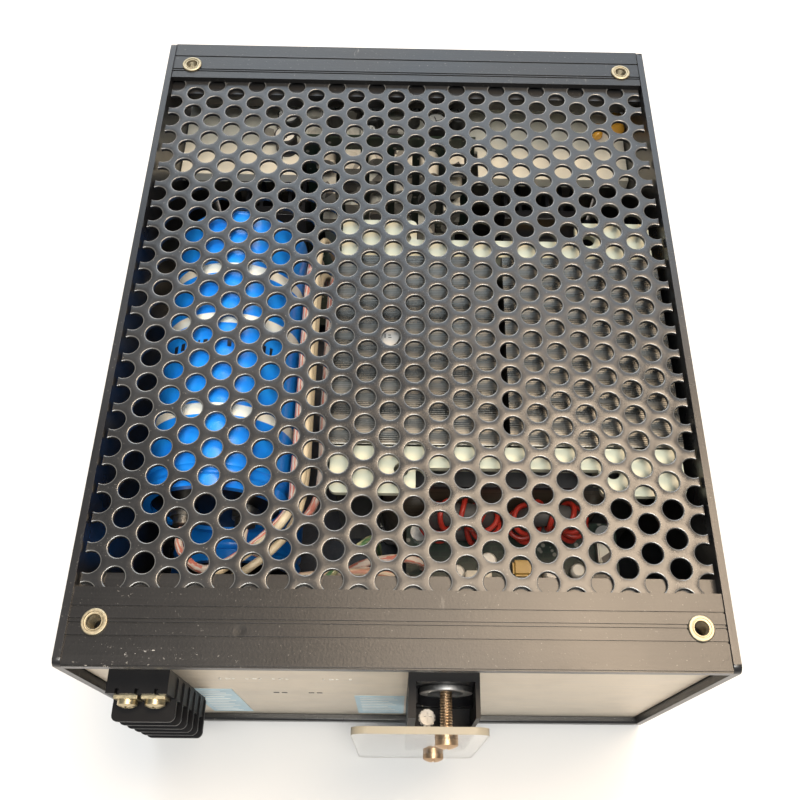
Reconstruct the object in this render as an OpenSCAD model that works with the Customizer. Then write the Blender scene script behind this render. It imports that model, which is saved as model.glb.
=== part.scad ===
// Open-frame style power supply in a case of black aluminium extrusions.
// Four extruded cross rails sit between two side plates and hold, in their slots,
// a perforated cover sheet, a base sheet and two end panels.
// Frame: X to the right, Y to the rear, Z up, origin at the centre of the underside.
// All sizes in millimetres.

/* [Case] */
// Overall width over the side plates
case_w = 167; // [160:0.5:190]
// Overall length from front to rear
case_l = 212; // [208:0.5:240]
// Overall height of the side plates
case_h = 105; // [103:0.5:125]
// Thickness of a side plate
side_t = 2; // [1.5:0.1:3]
// Corner radius of a side plate
side_corner_r = 2; // [0.5:0.1:6]

/* [Rails] */
// Width of the front rails' outer face
front_rail_w = 19.2; // [18:0.1:24]
// Width of the rear rails' outer face
rear_rail_w = 16.4; // [15.6:0.1:24]
// Set-back of the rails from the side plates' long edges
rail_drop = 0.5; // [0:0.1:1]
// Thickness of the rails' outer skin
rail_skin = 1.8; // [1.2:0.1:3]
// Height of the lip in front of an end panel
nose_h = 4; // [3:0.1:6]
// Thickness of the wall behind an end panel
slot_wall_t = 1.5; // [1:0.1:2]
// Depth of the wall behind an end panel
slot_wall_h = 6; // [4:0.1:9]
// Distance from the outer edge to the thick bar inside a rail
bar_start = 6.8; // [6:0.1:7]
// Distance from the outer edge to the inner side of that bar
bar_end = 13.6; // [13.5:0.1:14]
// Depth of the thick bar below the outer face
bar_h = 16; // [14:0.1:20]
// Reach of the lip under the sheet beyond the rail's edge
sheet_lip_reach = 4.4; // [1:0.1:6]
// Thickness of the lip under the sheet
sheet_lip_t = 1.4; // [1:0.1:2]
// Width of a groove line in the rails' faces
groove_w = 0.5; // [0.3:0.05:0.8]
// Depth of a groove line
groove_depth = 0.35; // [0.2:0.05:0.6]

/* [Sheets and panels] */
// Thickness of the perforated cover sheet
mesh_t = 1.2; // [0.8:0.1:1.3]
// Diameter of a hole in the cover sheet
mesh_hole_d = 5.7; // [3:0.1:6.6]
// Distance between neighbouring holes in the cover sheet
mesh_pitch = 8; // [7.6:0.1:12]
// Distance from the rails' outer edges to the sheets' edges
sheet_inset = 14; // [14:0.1:14.8]
// Side clearance of the sheets and panels
sheet_side_gap = 0.5; // [0.2:0.05:0.8]
// Thickness of the base sheet
base_t = 1.2; // [0.8:0.1:1.3]
// Thickness of the front and rear panels
panel_t = 1.2; // [0.8:0.1:1.5]
// Set-back of the panels' outer faces from the rails' edges
panel_recess = 2.2; // [1.8:0.1:2.6]
// Clearance round a sheet in its slot
slot_gap = 0.1; // [0.05:0.01:0.2]
// Clearance at the bottom of a panel slot
slot_end_gap = 0.4; // [0.2:0.1:1]

/* [Threaded inserts] */
// Distance of the inserts from the rails' ends
insert_side = 6.5; // [5.5:0.1:12]
// Distance of the inserts from the rails' outer edges
insert_edge = 10.5; // [10:0.1:10.5]
// Diameter of an insert's flange
insert_flange_d = 6.6; // [6:0.1:8]
// Height of an insert's flange above the rail
insert_flange_h = 0.6; // [0.3:0.1:1]
// Diameter of an insert's body
insert_body_d = 5.4; // [4.8:0.1:5.8]
// Length of an insert's body
insert_body_l = 6.4; // [4:0.1:7]
// Bore of an insert, for an M4 thread
insert_bore_d = 3.3; // [3.2:0.1:3.5]

/* [Side screws] */
// Diameter of a side screw's thread
side_screw_d = 3; // [2.5:0.1:4]
// Diameter of a side screw's countersunk head
side_screw_head_d = 5.6; // [5:0.1:7]
// Height of the countersunk head
side_screw_head_h = 1.5; // [1:0.1:1.9]
// Length of a side screw
side_screw_l = 9; // [6:0.5:14]
// Depth of a screw port below a rail's outer face
port_depth = 11.6; // [11:0.1:13]

/* [Input terminal strip] */
// Number of poles
input_poles = 6; // [2:1:7]
// Distance between poles
input_pitch = 7.62; // [7:0.01:8.2]
// Width of the strip
input_w = 15.7; // [14:0.1:18]
// Distance of the strip from the left side plate
input_side_gap = 7.15; // [2:0.05:12]
// Height of the uppermost pole
input_top_pole_z = 82.5; // [70:0.1:84]
// Height of the strip's base in front of the panel
input_base_h = 6; // [5:0.1:8]
// Reach of a barrier beyond the base
input_barrier_h = 5.6; // [4:0.1:8]
// Thickness of a barrier
input_barrier_t = 1.2; // [0.8:0.1:1.6]
// Length of the strip's end block above the uppermost pole
input_end_block = 6.4; // [4:0.1:8]
// Distance between the two screws of a pole
input_screw_spacing = 7.1; // [6.8:0.1:7.6]
// Diameter of a terminal screw's head
input_screw_head_d = 5.2; // [4.6:0.1:5.8]
// Height of a terminal screw's head
input_screw_head_h = 2; // [1.4:0.1:2.6]
// Side of the square clamp under a terminal screw
clamp_side = 6.2; // [5.9:0.1:6.4]
// Thickness of the square clamp
clamp_t = 0.8; // [0.5:0.1:1.2]

/* [Output terminal] */
// Left edge of the output terminal's housing
output_x0 = 2.6; // [0:0.1:6]
// Width of the housing
output_w = 18.4; // [18:0.1:20]
// Reach of the housing in front of the panel
output_reach = 11.2; // [9:0.1:14]
// Upper end of the housing
output_top_z = 89; // [86:0.1:92]
// Lower end of the housing
output_bottom_z = 26; // [20:0.1:28]
// Height of the upper pole
output_pole_z = 78; // [76:0.1:80]
// Distance between the two poles
output_pole_spacing = 39; // [36:0.1:42]
// Distance of each pole to the right or left of the housing's middle
output_pole_shift = 1.0; // [0:0.05:1.2]
// Outer diameter of a contact ring
ring_d = 14.2; // [12:0.1:14.4]
// Inner diameter of a contact ring
ring_bore_d = 9.4; // [7:0.1:10]
// Thickness of a contact ring
ring_t = 1.4; // [1:0.1:2]
// Depth of the round cradle in front of a ring
cradle_l = 2.4; // [1.5:0.1:2.4]
// Thickness of the backing behind a ring
output_back_t = 2.4; // [2:0.1:3]

/* [Terminal cover] */
// Width of the cover plate
cover_w = 35; // [33:0.1:40]
// Height of the cover plate
cover_h = 66; // [56:0.1:72]
// Thickness of the cover plate
cover_t = 1.8; // [1:0.1:3]
// Gap between the housing and the cover plate
cover_gap = 2.2; // [1:0.1:4]
// Corner radius of the cover plate
cover_corner_r = 4; // [1:0.1:8]
// Thread diameter of a cover screw
cover_screw_d = 3; // [2.5:0.1:3.5]
// Head diameter of a cover screw
cover_screw_head_d = 6.1; // [5.4:0.1:7]
// Head height of a cover screw
cover_screw_head_h = 2.3; // [1.8:0.1:3]

/* [Storage capacitors] */
// Space between the lower capacitor and the base sheet
can_base_gap = 9.6; // [4:0.1:16]
// Length of a storage capacitor
can_l = 95; // [80:0.5:100]
// Space between the capacitors and the left side plate
can_side_gap = 6.3; // [3:0.1:8]
// Front end of the upper capacitor
can_front_y = -57.5; // [-60:0.5:-50]
// Amount by which the lower capacitor reaches further forward
can_shift = 8; // [4:0.5:10]
// Gap between the upper capacitor and the cover sheet
can_top_gap = 2.6; // [2:0.1:6]
// Gap between the two capacitors
can_gap = 1.6; // [1.2:0.1:4]

/* [Laminated transformer] */
// Space between the laminated cores and the right side plate
core_side_gap = 1.3; // [0.8:0.1:6]
// Width of the lead channel between the capacitors and the cores
channel_w = 12.2; // [11:0.1:16]
// Space between the laminated cores and the cover sheet
core_top_gap = 4.2; // [3:0.1:12]
// Thickness of the lamination stack
core_stack = 65; // [50:0.5:66]
// Width of a limb
core_limb = 14; // [10:0.1:16]
// Gap between the two loops
core_gap = 2.4; // [1:0.1:4]
// Centre of the transformer along the case
core_y = -11.4; // [-14:0.1:-8]
// Depth of the end frames in front of and behind the stack
frame_mid = 6.4; // [5:0.1:10]
// Depth of the end frames' ears
frame_ear = 14; // [11:0.1:16]
// Wall of the bobbin
bobbin_t = 1.6; // [1:0.1:2.5]

/* [Boards] */
// Thickness of a circuit board
board_t = 1.6; // [1.2:0.1:2]
// Height of the rear board above the base sheet
rear_board_lift = 10; // [6:0.5:14]
// Height of the front board above the base sheet
front_board_lift = 52; // [46:0.5:54]
// Diameter of a board post
post_d = 6; // [5:0.1:8]

/* [Chokes] */
// Outer diameter of a choke's core
choke_d = 22; // [21:0.5:23]
// Diameter of the core's round section
choke_section_d = 6.4; // [5:0.1:6.6]
// Diameter of the choke wire
choke_wire_d = 1.8; // [1:0.1:1.9]
// Number of turns on a choke
choke_turns = 10; // [5:1:10]

/* [Wires] */
// Diameter of a lead inside the case
lead_d = 2.6; // [1.8:0.1:3]
// Diameter of an output lead
output_lead_d = 3.6; // [2.6:0.1:4]

/* [Hidden] */
$fn = 64;
eps = 0.01;

// Planes shared by the pieces of the case
inner_w = case_w - 2 * side_t;
front_y = -case_l / 2;
rear_y = case_l / 2;
rail_top_z = case_h - rail_drop;
rail_bottom_z = rail_drop;
sheet_depth = rail_skin;
mesh_end_margin = 0.5;
slot_h = max(mesh_t, base_t) + 2 * slot_gap;
mesh_top_z = rail_top_z - sheet_depth - slot_gap;
base_top_z = rail_bottom_z + sheet_depth + slot_gap + base_t;
sheet_w = inner_w - 2 * sheet_side_gap;
sheet_l = case_l - 2 * sheet_inset;
panel_front_y = front_y + panel_recess;
panel_back_y = panel_front_y + panel_t;
panel_end_depth = rail_skin + slot_end_gap;
panel_h = rail_top_z - rail_bottom_z - 2 * panel_end_depth;
panel_mid_z = case_h / 2;

// Groove lines, measured from a rail's outer edge
front_grooves = [7.2, 10.4, 11.3, 14.4];
rear_grooves = [6.2, 12.4, 13.3];

insert_spacing_x = inner_w - 2 * insert_side;

// Side screws sit in ports along the rails
port_y = rear_y - insert_edge;
port_z = [rail_bottom_z + port_depth, rail_top_z - port_depth];

// Input strip
input_x = input_side_gap + input_w / 2 - inner_w / 2;
input_face_y = panel_front_y - input_base_h;
input_front_y = input_face_y - input_barrier_h;
input_top_z = input_top_pole_z + input_end_block;
input_bottom_z = input_top_pole_z - (input_poles - 0.5) * input_pitch - input_barrier_t / 2;
function input_pole_z(i) = input_top_pole_z - i * input_pitch;
strip_screw_d = 3;
strip_tail_w = 10;
strip_tail_l = 5;

// Output terminal
output_mid_x = output_x0 + output_w / 2;
output_front_y = panel_front_y - output_reach;
ring_back_y = panel_front_y - output_back_t;
ring_front_y = ring_back_y - ring_t;
cradle_r = ring_d / 2 + 0.5;
cradle_front_y = ring_front_y - cradle_l;
ledge_drop = cradle_r + 2.2;
output_wall_left = 2;
output_wall_right = 1.2;
pocket_rise = 12;
output_poles = [[output_mid_x + output_pole_shift, output_pole_z],
                [output_mid_x - output_pole_shift, output_pole_z - output_pole_spacing]];
earth_screw_x = output_x0 + output_wall_left + 3.4;
earth_screw_y = (cradle_front_y + output_front_y) / 2;
earth_screw_head_d = 4;
earth_washer_d = 4.6;

// Cover plate in front of the output terminal
cover_back_y = output_front_y - cover_gap;
cover_front_y = cover_back_y - cover_t;
cover_x0 = output_x0 + output_w + 2.2 - cover_w;
cover_z0 = output_bottom_z - 1;
cover_hole_gap = 0.15;
screw_seat_y = panel_front_y - 0.4;

// Storage capacitors lie along the case, one above the other
mesh_bottom_z = mesh_top_z - mesh_t;
can_stack_h = mesh_bottom_z - can_top_gap - can_base_gap - base_top_z;
can_d = (can_stack_h - can_gap) / 2;
can_r = can_d / 2;
can_x = can_side_gap + can_r - inner_w / 2;
can_upper_z = mesh_bottom_z - can_top_gap - can_r;
can_lower_z = can_upper_z - can_d - can_gap;
can_places = [[can_x, can_front_y, can_upper_z], [can_x, can_front_y - can_shift, can_lower_z]];
can_rim_r = 2.2;
can_wall = 2.4;
can_bead_depth = 0.9;
can_bead_place = 5;
end_disc_t = 2;
end_disc_recess = 1.2;
can_terminal_spacing = 18;
terminal_d = 5;
terminal_flange_d = 8;
terminal_flange_h = 2.4;
terminal_nut_d = 6;
terminal_nut_h = 2.2;
saddle_t = 8;
saddle_half_w = 0.8 * can_r;
saddle_rise = 0.45 * can_r;
saddle_places = [-44, 12];

// Transformer
feet_h = 5.6;
core_x0 = can_x + can_r + channel_w;
core_x1 = inner_w / 2 - core_side_gap;
core_w = (core_x1 - core_x0 - core_gap) / 2;
core_x = (core_x0 + core_x1) / 2;
core_z0 = base_top_z + feet_h;
core_top_z = mesh_bottom_z - core_top_gap;
core_h = core_top_z - core_z0;
core_front_y = core_y - core_stack / 2;
window_w = core_w - 2 * core_limb;
window_h = core_h - 2 * core_limb;
inner_limbs_w = 2 * core_limb + core_gap;
core_centre_shift = (core_w + core_gap) / 2;
tube_gap = 0.3;
tube_w = inner_limbs_w + 2 * tube_gap + 2 * bobbin_t;
tube_l = core_stack + 2 * tube_gap + 2 * bobbin_t;
winding_build = window_w - bobbin_t - 1.4;
winding_reach = frame_mid - bobbin_t;
flange_t = 2;
flange_w = tube_w + 2 * winding_build + 0.6;
flange_l = tube_l + 2 * winding_reach + 0.6;
flange_z0 = core_z0 + core_limb + tube_gap;
flange_z1 = core_top_z - core_limb - tube_gap - flange_t;
frame_gap = 0.3;
frame_top_z = core_top_z - 0.6;
frame_plate_t = 2;
frame_w = 2 * core_w + core_gap - 2;
ear_w = 24;
ear_corner_r = 2;
frame_hole_d = 4.2;
frame_hole_shift = 8;
frame_hole_edge = 7;
frame_rib_inset = 8;
foot_l = 12;
foot_inset = 9;
foot_skin = 2;

// Boards and what stands on them
rear_board_z = base_top_z + rear_board_lift;
rear_board_top = rear_board_z + board_t;
rear_board_side_gap = 6.5;
rear_board_end_gap = 1.2;
rear_board_w = inner_w - 2 * rear_board_side_gap;
rear_board_l = 40;
rear_board_y0 = rear_y - rear_rail_w - sheet_lip_reach - rear_board_end_gap - rear_board_l;
front_board_z = base_top_z + front_board_lift;
front_board_top = front_board_z + board_t;
front_board_x0 = 2;
front_board_w = 66;
front_board_overhang = 0.6;
front_board_core_gap = 9.1;
front_board_y0 = front_y + front_rail_w + sheet_lip_reach - front_board_overhang;
front_board_l = core_front_y - front_board_core_gap - front_board_y0;
post_inset = 4;
post_screw_d = 3;
post_head_d = 5.6;
post_head_h = 1.8;
heatsink_h = 44;
heatsink_w = 28;
heatsink_base_t = 4;
heatsink_fins = 6;
heatsink_fin_t = 1.4;
heatsink_fin_l = 12;
heatsink_from_front = 22;
heatsink_y0 = rear_board_y0 + heatsink_from_front;
heatsink_side = 23;
heatsink_out = rear_board_w / 2 - heatsink_side;
heatsink_x = [-heatsink_out, heatsink_out];
transistor_w = 12.4;
transistor_h = 19.6;
transistor_t = 4.6;
transistor_lift = 12;
transistor_shift = 7;
leg_w = 1.2;
leg_t = 0.6;
leg_pitch = 4.4;

// Small parts on the rear board: places in X and Y, then sizes
film_from_channel = 13.1;
film_pitch = 13;
film_first_x = can_x + can_r + channel_w / 2 + film_from_channel;
film_places = [film_first_x, film_first_x + film_pitch, film_first_x + 2 * film_pitch];
film_from_front = 29;
film_y = rear_board_y0 + film_from_front;
film_w = 9;
film_l = 13;
film_h = 17;
filter_from_channel = 14.1;
filter_pitch = 13;
filter_first_x = can_x + can_r + channel_w / 2 + filter_from_channel;
filter_places = [filter_first_x, filter_first_x + filter_pitch, filter_first_x + 2 * filter_pitch];
filter_from_front = 13;
filter_y = rear_board_y0 + filter_from_front;
filter_d = 10;
filter_h = 18;
relay_x = -heatsink_out;
relay_from_front = 10.5;
relay_y = rear_board_y0 + relay_from_front;
relay_w = 22;
relay_l = 10;
relay_h = 16;
yellow_outward = 3.5;
yellow_from_front = 9.5;
yellow_x = heatsink_out + yellow_outward;
yellow_y = rear_board_y0 + yellow_from_front;
yellow_core_w = 24;
yellow_core_l = 8;
yellow_leg_h = 3;
yellow_winding_w = 18;
yellow_winding_l = 12;
yellow_winding_h = 14;

// Control board: upright behind the heatsinks, held by two brackets on the rear board
control_w = 62;
control_t = 1.6;
control_h = 52;
control_inset = 5;
control_lift = 3;
control_side_gap = 1;
control_x = control_side_gap + (heatsink_w + control_w) / 2 - heatsink_out;
control_y0 = rear_board_y0 + rear_board_l - control_inset;
control_z0 = rear_board_top + film_h + control_lift;
control_box_w = 6.4;
control_box_h = 7.2;
control_round_d = 7;
control_part_l = [5, 9, 4, 7, 11, 6];
control_columns = 6;
control_rows = 4;
control_first = 8;
control_step_x = 9.4;
control_step_z = 11.5;
bracket_w = 8;
bracket_t = 1.2;
bracket_rise = film_h + control_lift + 9;
bracket_foot_l = 3;
bracket_side = 8;

// Chokes
choke_r = (choke_d - choke_section_d) / 2;
turn_r = (choke_section_d + choke_wire_d) / 2 + 0.2;
choke_outer_r = choke_r + turn_r + choke_wire_d / 2;
choke_from_edge = 16;
choke_first_x = front_board_x0 + choke_from_edge;
choke_between = 0.4;
choke_inset = 4.5;
choke_row_y = front_board_y0 + front_board_l - choke_inset;
choke_places = [[choke_first_x, choke_row_y],
                [choke_first_x + 2 * choke_outer_r + choke_between, choke_row_y]];
choke_open_angle = 40;
choke_steps = 12;

// Lead routes, as points chosen by hand: from the strip's tail to a board or the base
lead_sides = 8;
lead_steps = 3;
lead_start_y = panel_back_y + strip_tail_l + 0.4;
lead_end_gap = 0.4;
rear_land_z = rear_board_top + lead_end_gap;
front_land_z = front_board_top + lead_end_gap;
tail_x = input_x + 0.5;
strip_out_y = lead_start_y + 5.2;
channel_x = can_x + can_r + channel_w / 2;
// Ways across: from the strip to the channel, from the channel to the front board,
// and from the front panel back to the capacitors
function across(f) = tail_x + f * (channel_x - tail_x);
function beside(f) = channel_x + f * (front_board_x0 - channel_x);
function inward(f) = panel_back_y + f * (can_front_y - panel_back_y);
land_near_y = front_board_y0 + 3;
land_far_y = front_board_y0 + 7.5;
land_back_y = front_board_y0 + front_board_l - 15;
live_land_x = [front_board_x0 + 10, front_board_x0 + 17];
can_land_x = [front_board_x0 + 5, front_board_x0 + 10.5];
output_land_x = [front_board_x0 + 30, front_board_x0 + 44];
neutral_routes = [
    [[tail_x, lead_start_y, input_pole_z(0)], [tail_x, strip_out_y, input_pole_z(0)],
     [across(0.154), inward(0.41), can_upper_z + 7.2],
     [across(0.514), inward(0.59), can_upper_z + 10.2],
     [across(0.82), inward(0.81), can_upper_z + 11.2],
     [channel_x - 1.4, can_front_y + 5.5, can_upper_z + 10.2],
     [channel_x - 1.4, can_front_y + 31.5, can_upper_z + 9.2],
     [channel_x - 1.4, can_front_y + 59.5, can_upper_z + 9.2],
     [channel_x - 1.4, can_front_y + 80, can_upper_z + 8.2],
     [channel_x - 0.9, rear_board_y0 - 2, can_upper_z - 1.8],
     [channel_x + 1.1, rear_board_y0 + 7, rear_land_z + 36.4],
     [channel_x + 3.1, rear_board_y0 + 9, rear_land_z + 14.4],
     [channel_x + 3.1, rear_board_y0 + 9, rear_land_z]],
    [[tail_x, lead_start_y, input_pole_z(1)], [tail_x, strip_out_y, input_pole_z(1)],
     [across(0.206), inward(0.435), can_upper_z - 0.8],
     [across(0.566), inward(0.59), can_upper_z + 2.2],
     [across(0.848), inward(0.81), can_upper_z + 3.2],
     [channel_x - 1.4, can_front_y + 5.5, can_upper_z + 2.2],
     [channel_x - 1.4, can_front_y + 31.5, can_upper_z + 1.2],
     [channel_x - 1.4, can_front_y + 57.5, can_upper_z + 1.2],
     [channel_x - 1.4, can_front_y + 78, can_upper_z - 0.8],
     [channel_x - 0.9, rear_board_y0 - 9, rear_land_z + 48.4],
     [channel_x + 1.6, rear_board_y0 - 1, rear_land_z + 28.4],
     [channel_x + 3.1, rear_board_y0 + 3, rear_land_z + 12.4],
     [channel_x + 3.1, rear_board_y0 + 3, rear_land_z]]
];
live_routes = [
    [[tail_x, lead_start_y, input_pole_z(2)], [tail_x, strip_out_y, input_pole_z(2)],
     [across(0.257), inward(0.412), can_upper_z - 6.8],
     [across(0.668), inward(0.545), can_upper_z - 3.8],
     [beside(0.175), inward(0.612), can_upper_z - 2.8],
     [beside(0.725), inward(0.634), front_land_z + 15.4],
     [front_board_x0 + 4, land_far_y, front_land_z + 10.4],
     [live_land_x[0], land_far_y, front_land_z + 3.4],
     [live_land_x[0], land_far_y, front_land_z]],
    [[tail_x, lead_start_y, input_pole_z(3)], [tail_x, strip_out_y, input_pole_z(3)],
     [across(0.283), inward(0.412), can_upper_z - 16.8],
     [across(0.72), inward(0.479), can_upper_z - 13.8],
     [beside(0.244), inward(0.49), front_land_z + 9.4],
     [beside(0.794), inward(0.5), front_land_z + 10.4],
     [front_board_x0 + 8, land_near_y, front_land_z + 8.4],
     [live_land_x[1], land_near_y, front_land_z + 3.9],
     [live_land_x[1], land_near_y, front_land_z]]
];
earth_route = [[tail_x, lead_start_y, input_pole_z(4)], [tail_x, strip_out_y, input_pole_z(4)],
               [across(0.308), inward(0.346), can_upper_z - 23.8],
               [across(0.668), inward(0.39), can_upper_z - 17.8],
               [channel_x + 0.1, inward(0.435), can_upper_z - 3.8],
               [beside(0.347), inward(0.634), can_upper_z + 3.2],
               [beside(0.622), can_front_y - 7.5, can_upper_z - 1.8],
               [beside(0.69), can_front_y - 3.5, front_land_z + 0.4],
               [beside(0.69), can_front_y - 2.5, base_top_z + 22.4],
               [beside(0.69), can_front_y - 2.5, base_top_z + lead_end_gap]];
terminal_face = terminal_flange_h + terminal_nut_h + lead_end_gap;
upper_start_y = can_front_y - terminal_face;
lower_start_y = can_front_y - can_shift - terminal_face;
can_lead_x = [can_x + can_terminal_spacing / 2, can_x - can_terminal_spacing / 2];
capacitor_routes = [
    [[can_lead_x[0], upper_start_y, can_upper_z], [can_lead_x[0], upper_start_y - 5, can_upper_z - 0.6],
     [across(0.69), upper_start_y - 6.5, can_upper_z - 3.3],
     [across(0.87), upper_start_y + 0.5, can_upper_z - 3.8],
     [channel_x + 2.3, can_front_y + 6, can_upper_z - 3.2],
     [channel_x + 2.5, can_front_y + 31.5, can_upper_z - 3.4],
     [channel_x + 2.5, can_front_y + 57.5, can_upper_z - 3.4],
     [channel_x + 2.5, can_front_y + 77.5, can_upper_z - 4.2],
     [channel_x + 3.6, rear_board_y0 - 7, rear_land_z + 50.4],
     [channel_x + 6.5, rear_board_y0 + 3, rear_land_z + 32.4],
     [channel_x + 7.1, rear_board_y0 + 6, rear_land_z + 10.4],
     [channel_x + 7.1, rear_board_y0 + 6, rear_land_z]],
    [[can_lead_x[1], upper_start_y, can_upper_z], [can_lead_x[1], upper_start_y - 6.5, can_upper_z + 0.7],
     [across(0.283), inward(0.59), can_upper_z + 3.2],
     [across(0.591), inward(0.69), can_upper_z + 7.6],
     [channel_x - 5, can_front_y - 2.5, can_upper_z + 7.6],
     [channel_x - 4.3, can_front_y + 8, can_upper_z + 5.4],
     [channel_x - 4.3, can_front_y + 33.5, can_upper_z + 5.2],
     [channel_x - 4.3, can_front_y + 57.5, can_upper_z + 5.2],
     [channel_x - 4.3, can_front_y + 79.5, can_upper_z + 4.2],
     [channel_x - 3.9, rear_board_y0 - 4, rear_land_z + 54.4],
     [channel_x - 2.4, rear_board_y0 + 2, rear_land_z + 28.4],
     [channel_x - 1.5, rear_board_y0 + 5.5, rear_land_z + 8.4],
     [channel_x - 1.5, rear_board_y0 + 5.5, rear_land_z]],
    [[can_lead_x[0], lower_start_y, can_lower_z], [can_lead_x[0], lower_start_y - 5.5, can_lower_z + 0.8],
     [across(0.72), inward(0.523), can_lower_z + 7.8],
     [beside(0.107), inward(0.634), front_land_z - 3.6],
     [beside(0.52), inward(0.745), front_land_z + 6.4],
     [beside(0.93), land_back_y, front_land_z + 10.4],
     [can_land_x[0], land_back_y, front_land_z + 5.4],
     [can_land_x[0], land_back_y, front_land_z]],
    [[can_lead_x[1], lower_start_y, can_lower_z], [can_lead_x[1], lower_start_y - 6.5, can_lower_z + 1.3],
     [across(0.308), inward(0.457), can_lower_z + 7.8],
     [across(0.771), inward(0.501), can_lower_z + 17.8],
     [beside(0.244), inward(0.656), front_land_z + 3.4],
     [beside(0.656), inward(0.69), front_land_z + 8.4],
     [front_board_x0, land_near_y + 1.5, front_land_z + 6.4],
     [front_board_x0 + 5, land_near_y - 0.3, front_land_z + 4.4],
     [can_land_x[1], land_near_y - 0.3, front_land_z + 4],
     [can_land_x[1], land_near_y - 0.3, front_land_z]]
];
output_stud_l = 2;
output_start_y = panel_back_y + output_stud_l + lead_end_gap;
output_upper = output_poles[0];
output_lower = output_poles[1];
output_routes = [
    [[output_upper[0], output_start_y, output_upper[1]],
     [output_upper[0], output_start_y + 6.2, output_upper[1]],
     [output_upper[0] + 2, inward(0.324), output_upper[1] - 2],
     [output_land_x[0] - 8, inward(0.457), front_land_z + 18.4],
     [output_land_x[0] - 1, land_far_y - 0.5, front_land_z + 8.4],
     [output_land_x[0], land_far_y, front_land_z + 3.4],
     [output_land_x[0], land_far_y, front_land_z]],
    [[output_lower[0], output_start_y, output_lower[1]],
     [output_lower[0], output_start_y + 5.2, output_lower[1]],
     [output_lower[0] + 3.2, inward(0.27), output_lower[1] + 7],
     [output_lower[0] + 9.2, inward(0.31), front_land_z + 0.4],
     [output_land_x[0] - 2, inward(0.357), front_land_z + 8.4],
     [output_land_x[1] - 4, land_near_y, front_land_z + 8.4],
     [output_land_x[1], land_far_y, front_land_z + 4.4],
     [output_land_x[1], land_far_y, front_land_z]]
];

// Colours
black_paint = [0.10, 0.10, 0.11];
bare_metal = [0.74, 0.71, 0.64];
brass = [0.78, 0.66, 0.38];
moulded_black = [0.07, 0.07, 0.08];
board_green = [0.12, 0.30, 0.16];

// ---------- Shared shapes ----------

module rounded_rect(w, h, r) {
    // A rectangle centred on the origin with true round corners
    union() {
        square([w - 2 * r, h], center = true);
        square([w, h - 2 * r], center = true);
        for (sx = [-1, 1])
            for (sy = [-1, 1])
                translate([sx * (w / 2 - r), sy * (h / 2 - r)])
                    circle(r = r);
    }
}

module along_x(length) {
    // A profile in (Y, Z) carried along X, centred on X = 0
    translate([-length / 2, 0, 0])
        rotate([90, 0, 90])
            linear_extrude(height = length)
                children();
}

module along_y(y0, length) {
    // A profile in (X, Z) carried from y0 towards the rear
    translate([0, y0 + length, 0])
        rotate([90, 0, 0])
            linear_extrude(height = length)
                children();
}

module rod_y(x, z, y0, y1, d) {
    // A round rod parallel to Y
    translate([x, y1, z])
        rotate([90, 0, 0])
            cylinder(d = d, h = y1 - y0);
}

module pan_head_y(x, z, seat_y, d, h) {
    // A domed screw head that points to the front, with a cross slot
    translate([x, seat_y, z])
        rotate([90, 0, 0])
            difference() {
                intersection() {
                    cylinder(d = d, h = h);
                    translate([0, 0, h - d * 0.9])
                        sphere(r = d * 0.9);
                }
                for (a = [0, 90])
                    rotate([0, 0, a])
                        translate([-d * 0.32, -d * 0.055, h * 0.45])
                            cube([d * 0.64, d * 0.11, h]);
            }
}

// ---------- Case ----------

module rail_profile(width, grooves) {
    // Section of a cross rail: x runs inwards from the outer edge, y is the height
    // below the outer face, which lies at zero
    lip_start = bar_end - eps;
    difference() {
        union() {
            translate([0, -rail_skin])
                square([width, rail_skin]);
            translate([0, -nose_h + 0.8])
                square([panel_recess - slot_gap, nose_h - 0.8]);
            translate([0.8, -nose_h])
                square([panel_recess - slot_gap - 0.8, nose_h]);
            translate([0.8, -nose_h + 0.8])
                circle(r = 0.8);
            translate([panel_recess + panel_t + slot_gap, -slot_wall_h])
                square([slot_wall_t, slot_wall_h]);
            translate([bar_start, -bar_h])
                square([bar_end - bar_start, bar_h]);
            translate([lip_start, -sheet_depth - slot_h - sheet_lip_t])
                square([width + sheet_lip_reach - lip_start, sheet_lip_t]);
        }
        for (g = grooves)
            translate([g - groove_w / 2, -groove_depth])
                square([groove_w, groove_depth + 1]);
        translate([insert_edge, -port_depth])
            circle(d = side_screw_d + 0.1);
        // Eased outer corners
        translate([-eps, -0.4])
            square([0.4, 0.4 + 1]);
    }
}

module rail(width, grooves, with_inserts) {
    // The front top rail; the other three are mirror images of this form
    difference() {
        translate([0, front_y, rail_top_z])
            along_x(inner_w)
                rail_profile(width, grooves);
        if (with_inserts)
            for (sx = [-1, 1])
                translate([sx * insert_spacing_x / 2, front_y + insert_edge,
                           rail_top_z - insert_body_l - 0.2])
                    cylinder(d = insert_body_d, h = insert_body_l + 1);
    }
}

module flipped_down() {
    // The same form on the underside of the case
    translate([0, 0, case_h])
        mirror([0, 0, 1])
            children();
}

module front_top_rail() {
    color(black_paint)
        rail(front_rail_w, front_grooves, true);
}

module rear_top_rail() {
    color(black_paint)
        mirror([0, 1, 0])
            rail(rear_rail_w, rear_grooves, true);
}

module front_bottom_rail() {
    color(black_paint)
        flipped_down()
            rail(front_rail_w, front_grooves, false);
}

module rear_bottom_rail() {
    color(black_paint)
        flipped_down()
            mirror([0, 1, 0])
                rail(rear_rail_w, rear_grooves, false);
}

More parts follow.
